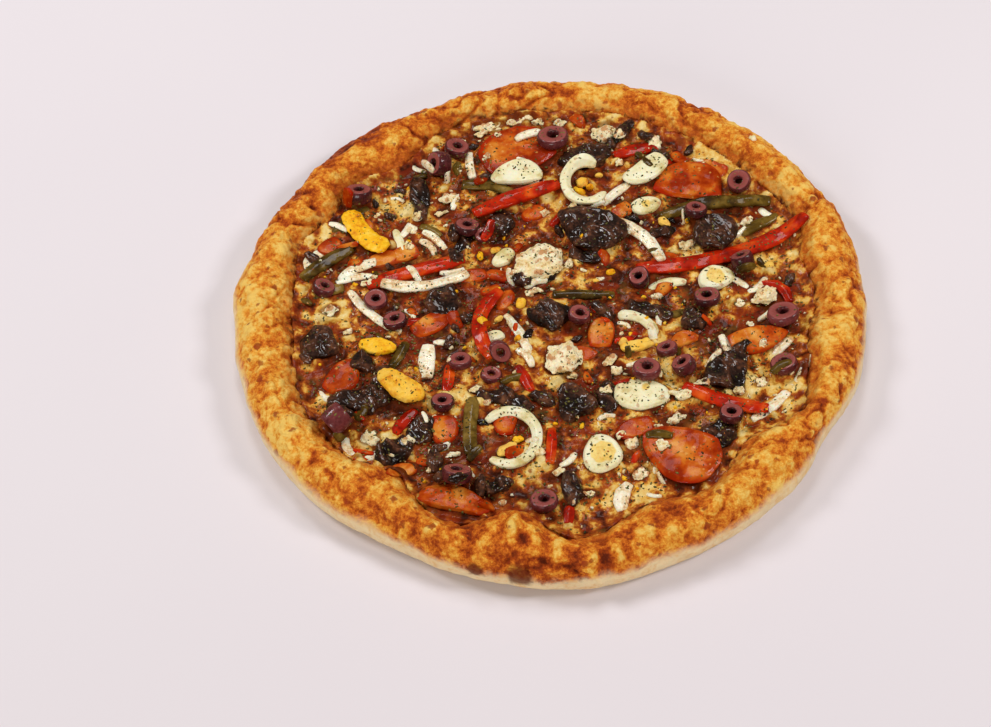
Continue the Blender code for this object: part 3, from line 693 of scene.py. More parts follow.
def crustMesh(look):
    turns, angles, middle, distance = rimSection(look)
    steps, stations = distance.shape

    def placed(reach):
        radius = middle[:, None] - np.cos(angles) * reach
        height = look["spineHeight"] + np.sin(angles) * reach
        x, y = radius * np.cos(turns)[:, None], radius * np.sin(turns)[:, None]
        return np.stack((x, y, np.maximum(height, 0)), axis=2).reshape(-1, 3)

    spots = placed(distance)
    x, y, height = spots.T
    around, edge = np.degrees(np.arctan2(y, x)), np.hypot(x, y) - innerRadius(x, y)
    outside = np.tile(np.clip((angles - np.radians(150)) / np.radians(25), 0, 1), steps)
    free = (1 - 0.8 * outside) * np.clip(height / 4, 0, 1)  # the outer side and the foot stay smooth
    crest = rimBumps(look, spots, around, edge) * free
    bulges = sum(
        high * np.exp(-((x - spotX) ** 2 + (y - spotY) ** 2) / reach ** 2)
        for spotX, spotY, reach, high in look["bulges"]
    )
    spots = placed(distance + (crest + free * (bulges - look["settled"])).reshape(steps, stations))
    first, last = np.arange(steps) * stations, np.arange(steps) * stations + stations - 1
    spots[last, 2] = 0
    x, y, height = spots.T
    crisp = pushed(around, look["crisp"]) * np.clip((edge - 17) / 9, 0, 1) * np.clip((height - 7) / 6, 0, 1)
    marks = {
        "crest": crest,
        "bake": pushed(around, look["bake"]) + crisp,
        "edge": np.clip(edge, -5, 40),  # distance from the cheese
        "outside": outside,
        "scorch": sum(
            np.exp(-((x - spotX) ** 2 + (y - spotY) ** 2 + (height - 14) ** 2) / reach ** 2)
            for spotX, spotY, reach in look["scorches"]
        ),
    }
    faces = []
    for step in range(steps):
        start, after = step * stations, (step + 1) % steps * stations
        faces += [(start + n, start + n + 1, after + n + 1, after + n) for n in range(stations - 1)]
    share, low = look["tray"]
    tray = spots[first] * (share, share, 0) + (0, 0, low)
    total = len(spots)
    spots = np.concatenate((spots, tray, [(0, 0, low), (0, 0, 0)]))
    for step in range(steps):
        after = (step + 1) % steps
        faces.append((total + step, int(first[step]), int(first[after]), total + after))
        faces.append((total + after, total + steps, total + step))
        faces.append((int(last[step]), total + steps + 1, int(last[after])))
    marks = {key: np.concatenate((values, np.zeros(steps + 2))) for key, values in marks.items()}
    return facedOut(newMesh("crust", spots, faces, marks))


def crustFinish(look):
    finish = Finish("bakedCrust", {"Specular IOR Level": 0.08})
    marks = ("crest", "bake", "edge", "outside", "scorch")
    crest, bake, edge, outside, scorch = (finish.mark(name) for name in marks)
    height = finish.axis(2)
    patches = finish.cloud(26, 3, 0.6)
    blotches = finish.cloud(7, 4, 0.65, 0.6)
    grain = finish.cloud(2.2, 5, 0.75)
    uneven = (patches - 0.5) * 0.65 + (blotches - 0.5) * 0.75 + (grain - 0.5) * 1.2
    # the crest term makes the colour paler on the tops of the bumps and darker in the creases and hollows
    browned = uneven - crest * 0.18 + bake + 0.44
    colour = finish.ramp(
        browned, (0.18, look["light"]), (0.36, look["golden"]), (0.54, look["orange"]),
        (0.74, look["brown"]), (0.98, look["dark"]),
    )
    colour = finish.blend(finish.spots(9, 0.36, 0.21) * 0.85, colour, look["fleck"])
    colour = finish.blend(finish.spots(5, 0.2, 0.22) * 0.75, colour, look["fleck"])
    oily = edge.between(10, 3)
    colour = finish.blend(oily * 0.45, colour, look["oily"])
    climb = (edge + blotches * 16 - 8).between(3.5, -0.5) * height.between(21, 17)
    colour = finish.blend(climb, colour, cheeseColour(finish, (blotches * 1.4 - 0.3).between(0.0, 1.0)))
    floury = (height + blotches * 10 + patches * 12 - 11 + bake * 22).between(19.5, 13) * outside
    colour = finish.blend(floury * 0.9, colour, finish.ramp(blotches * 0.6 + grain * 0.4, *look["floury"]))
    colour = finish.blend((scorch * 1.3 + blotches - 0.6).between(0.15, 0.7) * 0.85, colour, look["dark"])
    under = height.between(1.0, 0.3)
    colour = finish.blend(under * 0.8, colour, finish.ramp(blotches, *look["underside"]))
    relief = grain * 0.8 - finish.cells(2.6) * 0.5 + finish.cloud(0.8, 2) * 0.2 + blotches
    return finish.finished(colour, 0.55 + (grain - 0.5) * 0.4 - oily * 0.22, relief, 1.6)


crust = crustMesh(crustLook)
heap.add(pointsOf(crust), facesOf(crust))
flatX, flatY = (grid.ravel() for grid in np.meshgrid(heap.across, heap.across, indexing="ij"))
isInside = np.hypot(flatX, flatY) < innerRadius(flatX, flatY)
cheeseFloor = np.where(isInside, cheeseHeight(flatX, flatY) + 0.5, 0)
heap.top = np.maximum(heap.top, cheeseFloor.reshape(heap.top.shape))
addPiece("bakedCrust", crust, "crust", crustFinish(crustLook), "crust")

# the toppings, each row in millimetres and degrees; a node's own solid is read from model.glb
tomatoes = {
    "nodes": numbered("tomato_slice", 5),
    "slices": seeded(  # x, y, length, width, turn, thickness, outline
        100, (-115, -39, 27, 19, 60, 2.6, "oval"), (38, -90, 22, 13, 10, 2.4, "block"),
        (27, -25, 22, 15, 80, 2.6, "block"), (-62, -80, 20, 15, 80, 2.4, "block"),
        (-120, 55, 15, 12, 30, 2.4, "block"), (-90, 42, 18, 12, 12, 2.4, "block"),
        (-2, 66, 15, 11, 20, 2.4, "block"),
    ),
    "looseSlices": seeded(
        910, (-78, 45, 18, 12, 20, 1.8, "block"), (-24, 4, 16, 11, 60, 1.8, "oval"),
        (68, 22, 18, 12, 10, 1.8, "block"), (-40, 24, 17, 11, 0, 1.8, "half"),
        (-66, -8, 24, 14, 30, 2.0, "block"), (14, -38, 18, 12, 0, 1.8, "oval"),
        (-86, -104, 17, 11, 20, 1.8, "half"), (104, 88, 19, 12, -40, 2.0, "block"),
        (48, 62, 16, 11, 30, 1.8, "oval"), (-30, -78, 18, 13, 80, 2.0, "block"),
        (71, -34, 17, 12, 20, 1.8, "half"), (-100, 66, 17, 11, 70, 1.8, "oval"),
    ),
    "crease": 0.55,
    "swell": 0.3,
    "ripples": ((9.0, 0.55, 0.0), (3.2, 0.16, 4.4)),  # size, height, shift
    "flesh": (
        (0.32, tint(142, 36, 2)), (0.43, tint(186, 72, 10)),
        (0.53, tint(208, 118, 34)), (0.70, tint(228, 168, 80)),
    ),
    "skin": tint(166, 28, 6),
    "seed": tint(222, 164, 84),
}


def tomatoFinish():
    finish = Finish("bakedTomato", {"Specular IOR Level": 0.04, "Coat Weight": 0.08, "Coat Roughness": 0.04})
    out, tone = finish.mark("out"), finish.mark("tone")
    wide = finish.cloud(14, 2, 0.5, 0.4)
    fine = finish.cloud(2.6, 4, 0.6)
    share = wide * 0.8 + (fine - 0.5) * 0.22 + 0.1 - out * 0.08 + (tone - 0.5) * 0.14
    colour = finish.ramp(share, *tomatoes["flesh"])
    colour = finish.blend((out + (wide - 0.5) * 0.7).between(0.86, 1.0) * 0.8, colour, tomatoes["skin"])
    seeds = finish.spots(3.4, 0.5, 0.2) * finish.cloud(18, 1).between(0.48, 0.58)
    colour = finish.blend(seeds * 0.6, colour, tomatoes["seed"])
    return finish.finished(colour, 0.28 + (fine - 0.5) * 0.4, fine, 0.22)


tomatoMaterial = tomatoFinish()
addTopping("tomatoSlices", tomatoes, rippledBy(tomatoes), "tomato", tomatoMaterial)

redPeppers = {
    "nodes": numbered("red_pepper_strip", 5),
    "strips": seeded(  # x, y, length, width, turn, thickness, bow
        200, (-83, -72, 18, 6.5, 50, 2.4, 0.5), (-17, -51, 19, 5.5, -71, 2.4, 0.5),
        (-7, -96, 22, 5.0, -98, 2.4, 0.5), (62, 108, 26, 8.0, 8, 2.6, 1.5),
        (127, -6, 20, 5.5, -50, 2.4, 5.0),
    ),
    "looseStrips": seeded(
        810, (-58, -46, 17, 5.5, -100, 2.2, 0.5), (-106, -93, 9, 5, 10, 2.0, 0),
        (28, -12, 15, 4, -60, 2.0, 1.5), (-2, -140, 10, 5, 80, 2.0, 0), (40, -30, 12, 4, 20, 2.0, -2),
        (12, 60, 14, 5, 40, 2.2, 1),
    ),
    "crease": 0.75,
    "swell": 0.45,
    "ripples": ((9.0, 0.5, 1.5), (3.0, 0.1, 6.0)),
    "shades": ((0.36, tint(130, 16, 3)), (0.50, tint(188, 36, 4)), (0.68, tint(220, 90, 20))),
    "scorched": tint(92, 22, 10),
}
greenPeppers = {
    "nodes": numbered("green_pepper_strip", 4),
    "strips": seeded(
        205, (124, 42, 25, 6.5, 26, 2.4, 0.5), (-84, -27, 18, 6.0, -120, 2.2, 0.5),
        (20, 3, 34, 6.0, -7, 2.2, 0.5),
    ),
    "looseStrips": seeded(
        820, (-122, 22, 18, 7, 15, 2.2, 0.5), (-23, -50, 15, 4.5, 15, 2.0, 1),
        (48, -99, 16, 4.5, -12, 2.0, 0.5), (-62, 60, 14, 5, -40, 2.0, 0.5), (-108, 74, 26, 6, 40, 2.2, 1),
    ),
    "crease": 0.7,
    "swell": 0.45,
    "ripples": ((9.0, 0.5, 1.5), (3.0, 0.1, 6.0)),
    "shades": ((0.36, tint(54, 36, 8)), (0.50, tint(96, 72, 20)), (0.68, tint(148, 118, 52))),
    "scorched": tint(40, 24, 10),
}


def pepperFinish(name, look):
    finish = Finish(name, {"Specular IOR Level": 0.05, "Coat Weight": 0.22, "Coat Roughness": 0.05})
    wide = finish.cloud(11, 3, 0.55, 0.5)
    fine = finish.cloud(2.6, 4, 0.6)
    share = wide * 0.8 + (fine - 0.5) * 0.16 + (finish.mark("tone") - 0.5) * 0.12 + 0.1
    colour = finish.ramp(share, *look["shades"])
    scorched = (finish.cloud(6, 3, 0.6) * 0.8 + fine * 0.4).between(0.66, 0.78)
    colour = finish.blend(scorched * 0.5, colour, look["scorched"])
    return finish.finished(colour, 0.3 + (fine - 0.5) * 0.4, fine, 0.18)


redMaterial = pepperFinish("redPepperSkin", redPeppers)
greenMaterial = pepperFinish("greenPepperSkin", greenPeppers)
addTopping("greenPepperStrips", greenPeppers, rippledBy(greenPeppers), "green_pepper", greenMaterial, 2)
addTopping("redPepperStrips", redPeppers, rippledBy(redPeppers), "red_pepper", redMaterial)

onions = {
    "nodes": numbered("onion_strip", 2),
    "strips": seeded(
        211, (-132, 46, 15, 9.0, 60, 2.0, 1.0), (-17, -22, 26, 5.5, -69, 2.2, 1.0),
        (-69, -33, 22, 9.0, 84, 2.2, 0.5), (-102, -99, 20, 5.5, 8, 2.2, 1.0),
        (93, -42, 15, 4.5, -78, 2.0, 0.5), (122, -46, 16, 5.0, 42, 2.0, 0.5),
        (110, -84, 26, 5.5, 36, 2.2, -1.5), (27, -133, 17, 7.0, 72, 2.6, 2.5),
        (45, 75, 24, 5.5, 38, 2.2, 1.0),
    ),
    "looseStrips": seeded(
        830, (-73, 28, 12, 3.5, -60, 1.8, 0), (-105, 36, 22, 6, 25, 2.0, 3), (-107, 30, 20, 4, 8, 1.8, 2),
        (-36, 108, 20, 4.5, 92, 2.2, 1), (1, 125, 18, 4.5, 14, 2.2, 2), (-97, 4, 42, 4.5, -50, 2.0, -3),
        (-60, 53, 18, 3.5, -50, 1.8, 1), (131, -62, 18, 3.5, -120, 1.8, 1),
        (-20, -16, 20, 3.5, -72, 1.8, 2),
    ),
    "crease": 0.6,
    "shades": ((0.30, tint(204, 158, 104)), (0.42, tint(236, 214, 170)), (0.55, tint(250, 242, 216))),
}


def carveOnion(points, normals):
    depth = 0.5 + 0.45 * roughAt(points, 8, 3.3) + 0.18 * roughAt(points * (1, 1, 0.2), 1.6, 2.0)
    return points + normals * depth[:, None], {}


def onionFinish():
    clear = {"Subsurface Weight": 0.2, "Subsurface Scale": 0.003}
    wet = {"Specular IOR Level": 0.2, "Coat Weight": 0.25, "Coat Roughness": 0.08}
    finish = Finish("softOnion", {**clear, **wet})
    wide = finish.cloud(9, 3, 0.55, 0.6)
    fine = finish.cloud(1.6, 3, 0.6)
    colour = finish.ramp(wide * 0.85 + (fine - 0.5) * 0.5 + 0.06, *onions["shades"])
    return finish.finished(colour, 0.26 + (fine - 0.5) * 0.4, fine, 0.35)


onionMaterial = onionFinish()
addTopping("onionSlivers", onions, carveOnion, "onion", onionMaterial)

mushrooms = {
    "nodes": numbered("mushroom_slice", 9),
    "slices": seeded(
        112, (-20, 61, 20, 13, 96, 3.4, "cap"), (-91, -92, 24, 18, 20, 4.0, "cap"),
        (82, -100, 24, 19, 40, 3.8, "cap"), (1, -123, 22, 12, 96, 3.8, "cap"),
        (-57, 7, 22, 21, 30, 3.8, "cap"), (-74, -79, 18, 14, 60, 3.6, "cap"),
        (79, -21, 19, 14, 75, 3.8, "cap"), (-104, -30, 18, 12, -50, 3.4, "cap"),
    ) +
    seeded(121, (-38, -118, 20, 9, 4, 3.4, "cap")),
    "lumps": seeded(317, (50, -8, 14, 10, 0, 3.6)),
    "looseStrips": seeded(
        840, (49, 118, 34, 6, 38, 3.2, -3), (97, -50, 20, 6, 48, 3.0, 0), (26, -68, 20, 7, 85, 3.4, 3),
        (-28, -64, 34, 8, -26, 3.2, 2), (-5, 17, 24, 7, -6, 3.0, 1), (56, -14, 22, 7, -18, 3.0, 1),
        (-45, 44, 22, 8, 60, 3.0, 2), (24, 30, 18, 7, -30, 3.0, 1), (70, 44, 16, 6, 10, 2.8, 1),
    ),
    "crease": 0.35,
    "folds": (9.0, 2.3),  # size and depth of the folds, then of the wrinkles in them
    "wrinkles": (3.0, 0.55),
    "shades": (
        (0.34, tint(22, 11, 7)), (0.47, tint(48, 27, 19)),
        (0.58, tint(84, 50, 34)), (0.74, tint(128, 80, 50)),
    ),
}


def carveMushroom(points, normals):
    sway = np.column_stack([roughAt(points, 9, shift) for shift in (1.0, 21.0, 41.0)]) * (1.6, 1.6, 0.7)
    x, y, height = points.T
    points = np.column_stack((x + 0.5 * y, (y - 0.5 * x) * 0.45, height))  # so that the folds run lengthwise
    size, high = mushrooms["folds"]
    folds = high * (0.55 - 2.0 * np.abs(roughAt(points, size, 2.7)))
    size, high = mushrooms["wrinkles"]
    wrinkles = high * (0.4 - 2.0 * np.abs(roughAt(points, size, 7.9)))
    ridge = folds + wrinkles
    return np.column_stack((x, y, height)) + sway + normals * (0.6 + ridge)[:, None], {"ridge": ridge}


def mushroomFinish():
    finish = Finish("darkMushroom", {"Specular IOR Level": 0.04, "Coat Weight": 0.5, "Coat Roughness": 0.04})
    wide = finish.cloud(9, 4, 0.6, 0.5)
    fine = finish.cloud(1.6, 3, 0.6)
    share = wide * 0.6 + (fine - 0.5) * 0.5 + finish.mark("ridge") * 0.08 + 0.15
    colour = finish.ramp(share, *mushrooms["shades"])
    return finish.finished(colour, 0.34 + (fine - 0.5) * 0.5, fine, 0.3)


mushroomMaterial = mushroomFinish()
addTopping("mushroomSlices", mushrooms, carveMushroom, "mushroom", mushroomMaterial)

eggWhites = {
    "nodes": numbered("egg_slice", 5) + numbered("egg_white_arc", 3),
    "slices": seeded(107, (62, 64, 20, 14, 12, 3.0, "oval")) +
    seeded(110, (-22, 35, 18, 11, 40, 3.2, "oval"), (-32, -21, 15, 9, 10, 3.0, "half")),
    "strips": seeded(209, (67, 5, 22, 7.0, 8, 3.0, 2.2), (-80, 53, 22, 6.0, -77, 2.6, 0.5)),
    "yolkSpots": ((94, 5, 6), (19, -105, 7.5), (62, 64, 3.2), (46, -66, 3)),  # x, y and reach of a yolk patch
    "white": ((0.34, tint(204, 184, 116)), (0.46, tint(234, 224, 174)), (0.64, tint(244, 240, 208))),
    "crease": 0.4,
    "yolk": ((0.36, tint(226, 172, 62)), (0.60, tint(244, 214, 112))),
    "toast": tint(176, 108, 44),
}


def carveEgg(points, normals):
    yolk = np.zeros(len(points))
    for x, y, reach in eggWhites["yolkSpots"]:
        away = np.hypot(points[:, 0] - x, points[:, 1] - y) + 1.6 * roughAt(points, 4, 2.5)
        yolk = np.maximum(yolk, np.clip((reach - away) / 1.6, 0, 1))
    depth = 0.3 * roughAt(points, 9, 1.1) + 0.12 * roughAt(points, 3, 1.9)
    depth += yolk * (0.5 * grainsAt(points, 2.6) - 0.4)
    return points + normals * depth[:, None], {"yolk": yolk}


def eggFinish():
    clear = {"Subsurface Weight": 0.12, "Subsurface Scale": 0.003}
    finish = Finish("boiledEgg", {**clear, "Specular IOR Level": 0.3})
    wide = finish.cloud(11, 3, 0.55)
    fine = finish.cloud(2.2, 4, 0.6)
    white = finish.ramp(wide * 0.85 + (fine - 0.5) * 0.3 + 0.08, *eggWhites["white"])
    yellow = finish.ramp(wide * 0.5 + fine * 0.5, *eggWhites["yolk"])
    colour = finish.blend((finish.mark("yolk") + (fine - 0.5) * 0.5).between(0.1, 0.9) * 0.9, white, yellow)
    colour = finish.blend(finish.spots(5, 0.35, 0.2) * 0.6, colour, eggWhites["toast"])
    return finish.finished(colour, 0.36 + (fine - 0.5) * 0.4, fine, 0.3)


addTopping("eggWhiteSlices", eggWhites, carveEgg, "egg_white", eggFinish())

eggYolks = {
    "nodes": numbered("egg_yolk", 2),
    "slices": seeded(108, (-96, -20, 25, 13, -16, 4.2, "oval"), (45, -36, 22, 9, 4, 3.4, "oval")),
    "looseLumps": seeded(
        850, (28, 86, 11, 10, 30, 5.0), (26, 79, 9, 8, 0, 4.2), (32, 82, 7, 7, 0, 5.6),
        (-30, -96, 17, 11, 35, 3.4), (-24, -90, 9, 7, 10, 3.8), (-37, -12, 9, 8, 0, 4.6),
        (-28, -9, 8, 6, 20, 4.4), (-19, -24, 6, 6, 0, 4.0), (71, 49, 12, 8, -50, 4.4),
        (-15, 1, 12, 9, 70, 4.4), (-26, 41, 9, 7, 10, 4.4), (-35, 38, 6, 9, 0, 4.0), (28, 12, 6, 5, 0, 3.6),
        (38, -33, 8, 6, 30, 4.4), (50, -34, 9, 7, 0, 4.8), (125, 12, 9, 7, 0, 3.6), (38, 91, 7, 5, 0, 3.4),
        (37, 17, 8, 6, 0, 3.6),
    ),
    "shades": (
        (0.32, tint(206, 112, 8)), (0.42, tint(240, 168, 14)),
        (0.54, tint(250, 194, 30)), (0.76, tint(254, 220, 100)),
    ),
    "pale": tint(240, 200, 104),
}


def carveYolk(points, normals):
    depth = 0.55 * grainsAt(points, 3.4) - 0.45 + 0.35 * roughAt(points, 6, 3.3) + 0.15 * roughAt(points, 1.5)
    return points + normals * depth[:, None], {}


def yolkFinish():
    finish = Finish("boiledYolk", {"Specular IOR Level": 0.12})
    wide = finish.cloud(9, 3, 0.6)
    fine = finish.cloud(2.0, 4, 0.6)
    colour = finish.ramp(wide * 0.7 + (fine - 0.5) * 0.5 + 0.14, *eggYolks["shades"])
    pale = (finish.mark("tone") + wide - 0.5).between(0.3, 0.8)
    colour = finish.blend(pale * 0.7, colour, eggYolks["pale"])
    return finish.finished(colour, 0.45 + (fine - 0.5) * 0.4, fine * 0.7 - finish.cells(1.4) * 0.3, 0.5)


yolkMaterial = yolkFinish()
addTopping("eggYolkPieces", eggYolks, carveYolk, "egg_yolk", yolkMaterial)

whiteCheese = {
    "nodes": numbered("white_cheese", 3),
    "lumps": seeded(  # x, y, length, width, turn, height
        300, (74, 113, 19, 14, 80, 5.4), (118, 45, 13, 12, 0, 5.0), (82, 32, 16, 13, 20, 4.8),
        (-50, 84, 16, 13, 20, 5.4), (-121, 8, 15, 12, 10, 5.0), (-102, -80, 17, 14, 15, 5.0),
        (32, -51, 12, 11, 30, 4.6), (60, -86, 17, 10, 10, 4.6), (37, -119, 15, 11, 20, 4.6),
        (105, -13, 11, 10, 0, 4.4), (108, -68, 12, 11, 0, 4.2), (-73, 62, 11, 9, 40, 4.0),
        (46, 128, 24, 20, 30, 4.6), (-20, 137, 11, 9, 0, 4.2), (6, 146, 11, 8, 0, 4.2),
        (-71, -104, 9, 8, 0, 4.0), (35, -99, 13, 12, 0, 4.6),
    ) +
    seeded(
        318, (-10, 8, 10, 9, 0, 4.0),
    ),
    "looseLumps": seeded(
        870, (-68, 70, 10, 8, 0, 4.4), (-92, 75, 8, 7, 0, 3.8), (-55, 73, 15, 6, 10, 4.4),
        (-75, 50, 9, 13, 0, 4.0), (-44, -55, 13, 8, 10, 4.4), (-59, -96, 12, 7, 15, 4.2),
        (-82, -86, 12, 7, 12, 4.4), (-101, 25, 11, 9, 0, 4.4), (-95, 29, 7, 6, 0, 4.0),
        (30, -44, 15, 9, 30, 4.4), (8, -53, 12, 7, 0, 4.2), (95, -73, 10, 8, 0, 4.2),
        (49, -91, 9, 6, 0, 4.0), (51, 99, 9, 8, 0, 4.6), (-26, 110, 9, 8, 0, 4.6), (-43, 105, 8, 7, 0, 4.6),
        (4, 65, 9, 7, 0, 4.6), (22, 20, 8, 7, 0, 4.4), (60, -3, 8, 7, 0, 4.6), (-38, -65, 6, 6, 0, 4.0),
        (-5, -113, 10, 8, 0, 4.0), (10, -128, 9, 7, 0, 3.8), (-35, -128, 9, 6, 0, 3.6),
        (-5, 9, 9, 8, 0, 4.6), (30, 13, 9, 6, 20, 4.2), (64, -72, 20, 8, -12, 4.2),
        (55, -74, 10, 8, 0, 4.0), (-8, 140, 16, 9, 10, 3.8), (20, 136, 14, 8, 0, 3.6),
        (76, -66, 12, 8, 0, 4.2), (-4, 36, 12, 9, 0, 6.0), (14, 25, 10, 10, 0, 6.0),
        (-16, 22, 10, 8, 0, 5.6), (129, 100, 10, 8, 20, 3.6), (20, 66, 9, 7, 0, 4.0),
        (-90, -14, 6, 5, 0, 3.6),
    ) +
    seeded(942, (-24, 138, 26, 10, 8, 4.2), (-2, 142, 18, 8, -5, 4.0)) +
    seeded(
        930, (-28, 133, 13, 8, 10, 4.0), (-40, 127, 11, 8, 30, 4.0), (6, 138, 12, 7, -10, 3.8),
        (-18, 127, 9, 7, 0, 3.6), (54, 120, 12, 9, 30, 4.4), (24, -66, 12, 9, 0, 3.8),
        (30, -93, 10, 8, 20, 4.0), (50, -106, 13, 9, -20, 4.4), (-14, -100, 11, 9, 0, 4.0),
        (112, -45, 11, 8, 60, 3.6), (108, -28, 9, 8, 0, 3.6), (-112, -8, 9, 8, 0, 3.6),
    ),
    "curds": ((5.4, 2.4), (2.2, 0.9)),
    "shades": ((0.32, tint(206, 164, 94)), (0.43, tint(238, 214, 158)), (0.60, tint(250, 240, 206))),
    "toast": tint(190, 116, 30),
    "burnt": tint(136, 58, 14),
}


def carveCheese(points, normals):
    (wide, high), (narrow, low) = whiteCheese["curds"]
    curds = grainsAt(points, wide, 1.7)
    depth = high * (curds - 0.55) + low * (grainsAt(points, narrow, 3.3) - 0.5)
    depth += 0.5 * roughAt(points, 8, 6.0)
    # tip is high on grain tops and on faces turned up: it places the real toasting, and it also makes the
    # colour paler there, which is painted light, with painted shade in the hollows
    tip = curds * 0.8 + normals[:, 2] * 0.3 + 0.5 * roughAt(points, 5, 12.0) - 0.25
    return points + normals * depth[:, None], {"tip": np.clip(tip, 0, 1)}


def whiteCheeseFinish():
    clear = {"Subsurface Weight": 0.12, "Subsurface Scale": 0.002}
    finish = Finish("crumbledCheese", {**clear, "Specular IOR Level": 0.2})
    tip = finish.mark("tip")
    wide = finish.cloud(6, 3, 0.6)
    fine = finish.cloud(1.8, 4, 0.65)
    # tip * 0.08 is painted light on the tops and painted shade in the hollows
    colour = finish.ramp(wide * 0.7 + (fine - 0.5) * 0.4 + tip * 0.08 + 0.14, *whiteCheese["shades"])
    toasted = tip * 0.5 + wide * 0.5 + fine * 0.7
    colour = finish.blend(toasted.between(0.79, 0.90) * 0.8, colour, whiteCheese["toast"])
    colour = finish.blend(toasted.between(1.02, 1.1) * 0.8, colour, whiteCheese["burnt"])
    return finish.finished(colour, 0.5 + (fine - 0.5) * 0.4, fine * 0.7 - finish.cells(1.3) * 0.3, 0.6)


whiteMaterial = whiteCheeseFinish()
addTopping("whiteCheeseCrumbles", whiteCheese, carveCheese, "white_cheese", whiteMaterial)

olives = {
    "nodes": numbered("olive_ring", 20, 2),
    "holeShare": 0.34,
    "sides": 40,
    "rings": seeded(  # x, y, width, length of the cut, lean, bearing of the lean; one for each node
        700, (-102, 88, 16.0, 7.5, 22, 250), (-43, 120, 15.0, 5.0, 14, 200), (-54, 105, 15.0, 9.0, 58, 20),
        (14, 119, 19.0, 5.5, 10, 280), (-95, 11, 13.5, 4.5, 14, 100), (-85, -5, 14.0, 4.5, 10, 300),
        (-41, 57, 15.0, 5.0, 20, 240), (117, 71, 14.0, 7.5, 28, 60), (89, 50, 13.0, 5.0, 18, 250),
        (87, -10, 15.0, 5.0, 12, 270), (126, -27, 18.0, 5.5, 16, 300), (16, -15, 12.5, 4.5, 10, 200),
        (48, -56, 15.5, 5.5, 12, 265), (68, -56, 13.0, 7.0, 30, 330), (121, -60, 15.0, 5.0, 14, 320),
        (88, -91, 13.0, 5.0, 12, 250), (-51, -37, 13.0, 4.5, 12, 260), (-118, -72, 15.0, 12.0, 72, 215),
        (-57, -113, 16.0, 6.5, 34, 250), (-14, -132, 15.0, 5.0, 12, 270),
    ),
    "inCheese": seeded(
        350, (-35, -47, 12.0, 4.5, 10, 200), (-62, -62, 13.0, 5.0, 14, 250), (61, -41, 12.0, 5.0, 20, 300),
        (-124, 23, 13.0, 5.5, 26, 200),
    ),
    "loose": seeded(
        360, (110, 13, 13.0, 7.0, 40, 300), (52, 9, 12.0, 6.0, 16, 20), (-29, -35, 12.0, 6.0, 50, 100),
        (-32, 51, 10.0, 5.0, 30, 40),
    ),
    "skin": ((0.30, tint(40, 13, 14)), (0.48, tint(84, 32, 34)), (0.70, tint(122, 58, 58))),
    # its first stop, at the hole, is painted shade; its last is the real dark skin at the rim
    "pulpAndHoleShade": (
        (0.34, tint(60, 16, 14)), (0.46, tint(138, 66, 60)),
        (0.82, tint(152, 80, 74)), (0.95, tint(84, 30, 34)),
    ),
}


def oliveRing(row, middle=None):
    # a barrel with a hole and soft edges; its marks say what is cut flesh, dropping inside the hole so that
    # the hole is darkened by painted shade, and how far out it lies
    seed, x, y, across, cut, lean, bearing = row
    squash = random.Random(seed + 3).uniform(0.9, 1.0)
    draw = random.Random(seed + 40)
    outer, half = across / 2, cut / 2
    hole = outer * olives["holeShare"] * draw.uniform(0.8, 1.15)
    offset, offsetTurn = draw.uniform(0.0, 0.12) * outer, draw.uniform(0, 6)
    edge = min(0.7, half * 0.3)
    rim = outer * 0.93 - edge
    shares = np.linspace(-1, 1, 9)
    side = [(outer * (1 - 0.07 * share ** 2), share * (half - edge * 0.6), 0) for share in shares]
    face = [(rim, half, 0.75)]
    for share in (0.75, 0.5, 0.25):
        face.append((hole + (rim - hole) * share, half - 0.12 * math.sin(math.pi * share), 1))
    # inside the hole the flesh mark drops to 0.4 and then 0.1, so the hole's wall takes the dark skin colour:
    # painted shade
    face += [(hole + 0.5, half - 0.05, 1), (hole, half - 0.6, 0.4)]
    back = [(radius, -height, isCut) for radius, height, isCut in reversed(face)]
    profile = side + face + [(hole * 0.9, 0, 0.1)] + back
    leanAxis = Vector((math.sin(math.radians(bearing)), -math.cos(math.radians(bearing)), 0))
    tilt = np.array(Matrix.Rotation(math.radians(lean), 3, leanAxis))
    sides = olives["sides"]
    points, flesh, out = [], [], []
    for radius, height, isCut in profile:
        for step in range(sides):
            turn = 2 * math.pi * step / sides
            inward = 1 - radius / outer
            wave = 1 + 0.035 * noise.noise((math.cos(turn) * 1.3, math.sin(turn) * 1.3, seed * 0.7))
            px = radius * wave * math.cos(turn) + offset * inward * math.cos(offsetTurn)
            py = radius * wave * squash * math.sin(turn) + offset * inward * math.sin(offsetTurn)
            points.append((px, py, height + 0.35 * noise.noise((px * 0.16, py * 0.16, seed * 1.3 + 4))))
            flesh.append(isCut)
            out.append(radius / outer)
    points = np.array(points) @ tilt.T
    faces = []
    for ring in range(len(profile)):
        above = (ring + 1) % len(profile) * sides
        for step in range(sides):
            after = (step + 1) % sides
            faces.append((ring * sides + step, ring * sides + after, above + after, above + step))
    points += (x, y, -points[:, 2].min()) if middle is None else middle
    return points, faces, {"flesh": flesh, "out": out}


def oliveFinish():
    finish = Finish("moistOlive", {"Specular IOR Level": 0.1, "Coat Weight": 0.35, "Coat Roughness": 0.06})
    flesh, out, tone = finish.mark("flesh"), finish.mark("out"), finish.mark("tone")
    wide = finish.cloud(6, 3, 0.6)
    fine = finish.cloud(1.4, 3, 0.6)
    skin = finish.ramp(wide * 0.6 + (fine - 0.5) * 0.3 + tone * 0.22 + 0.08, *olives["skin"])
    # low out, at the hole, gives the darkest pulp: painted shade
    pulpAndHoleShade = finish.ramp(out + (wide - 0.5) * 0.3 + (fine - 0.5) * 0.1, *olives["pulpAndHoleShade"])
    colour = finish.blend(flesh.between(0.35, 0.8), skin, pulpAndHoleShade)
    return finish.finished(colour, 0.26 + (fine - 0.5) * 0.4, fine, 0.25)


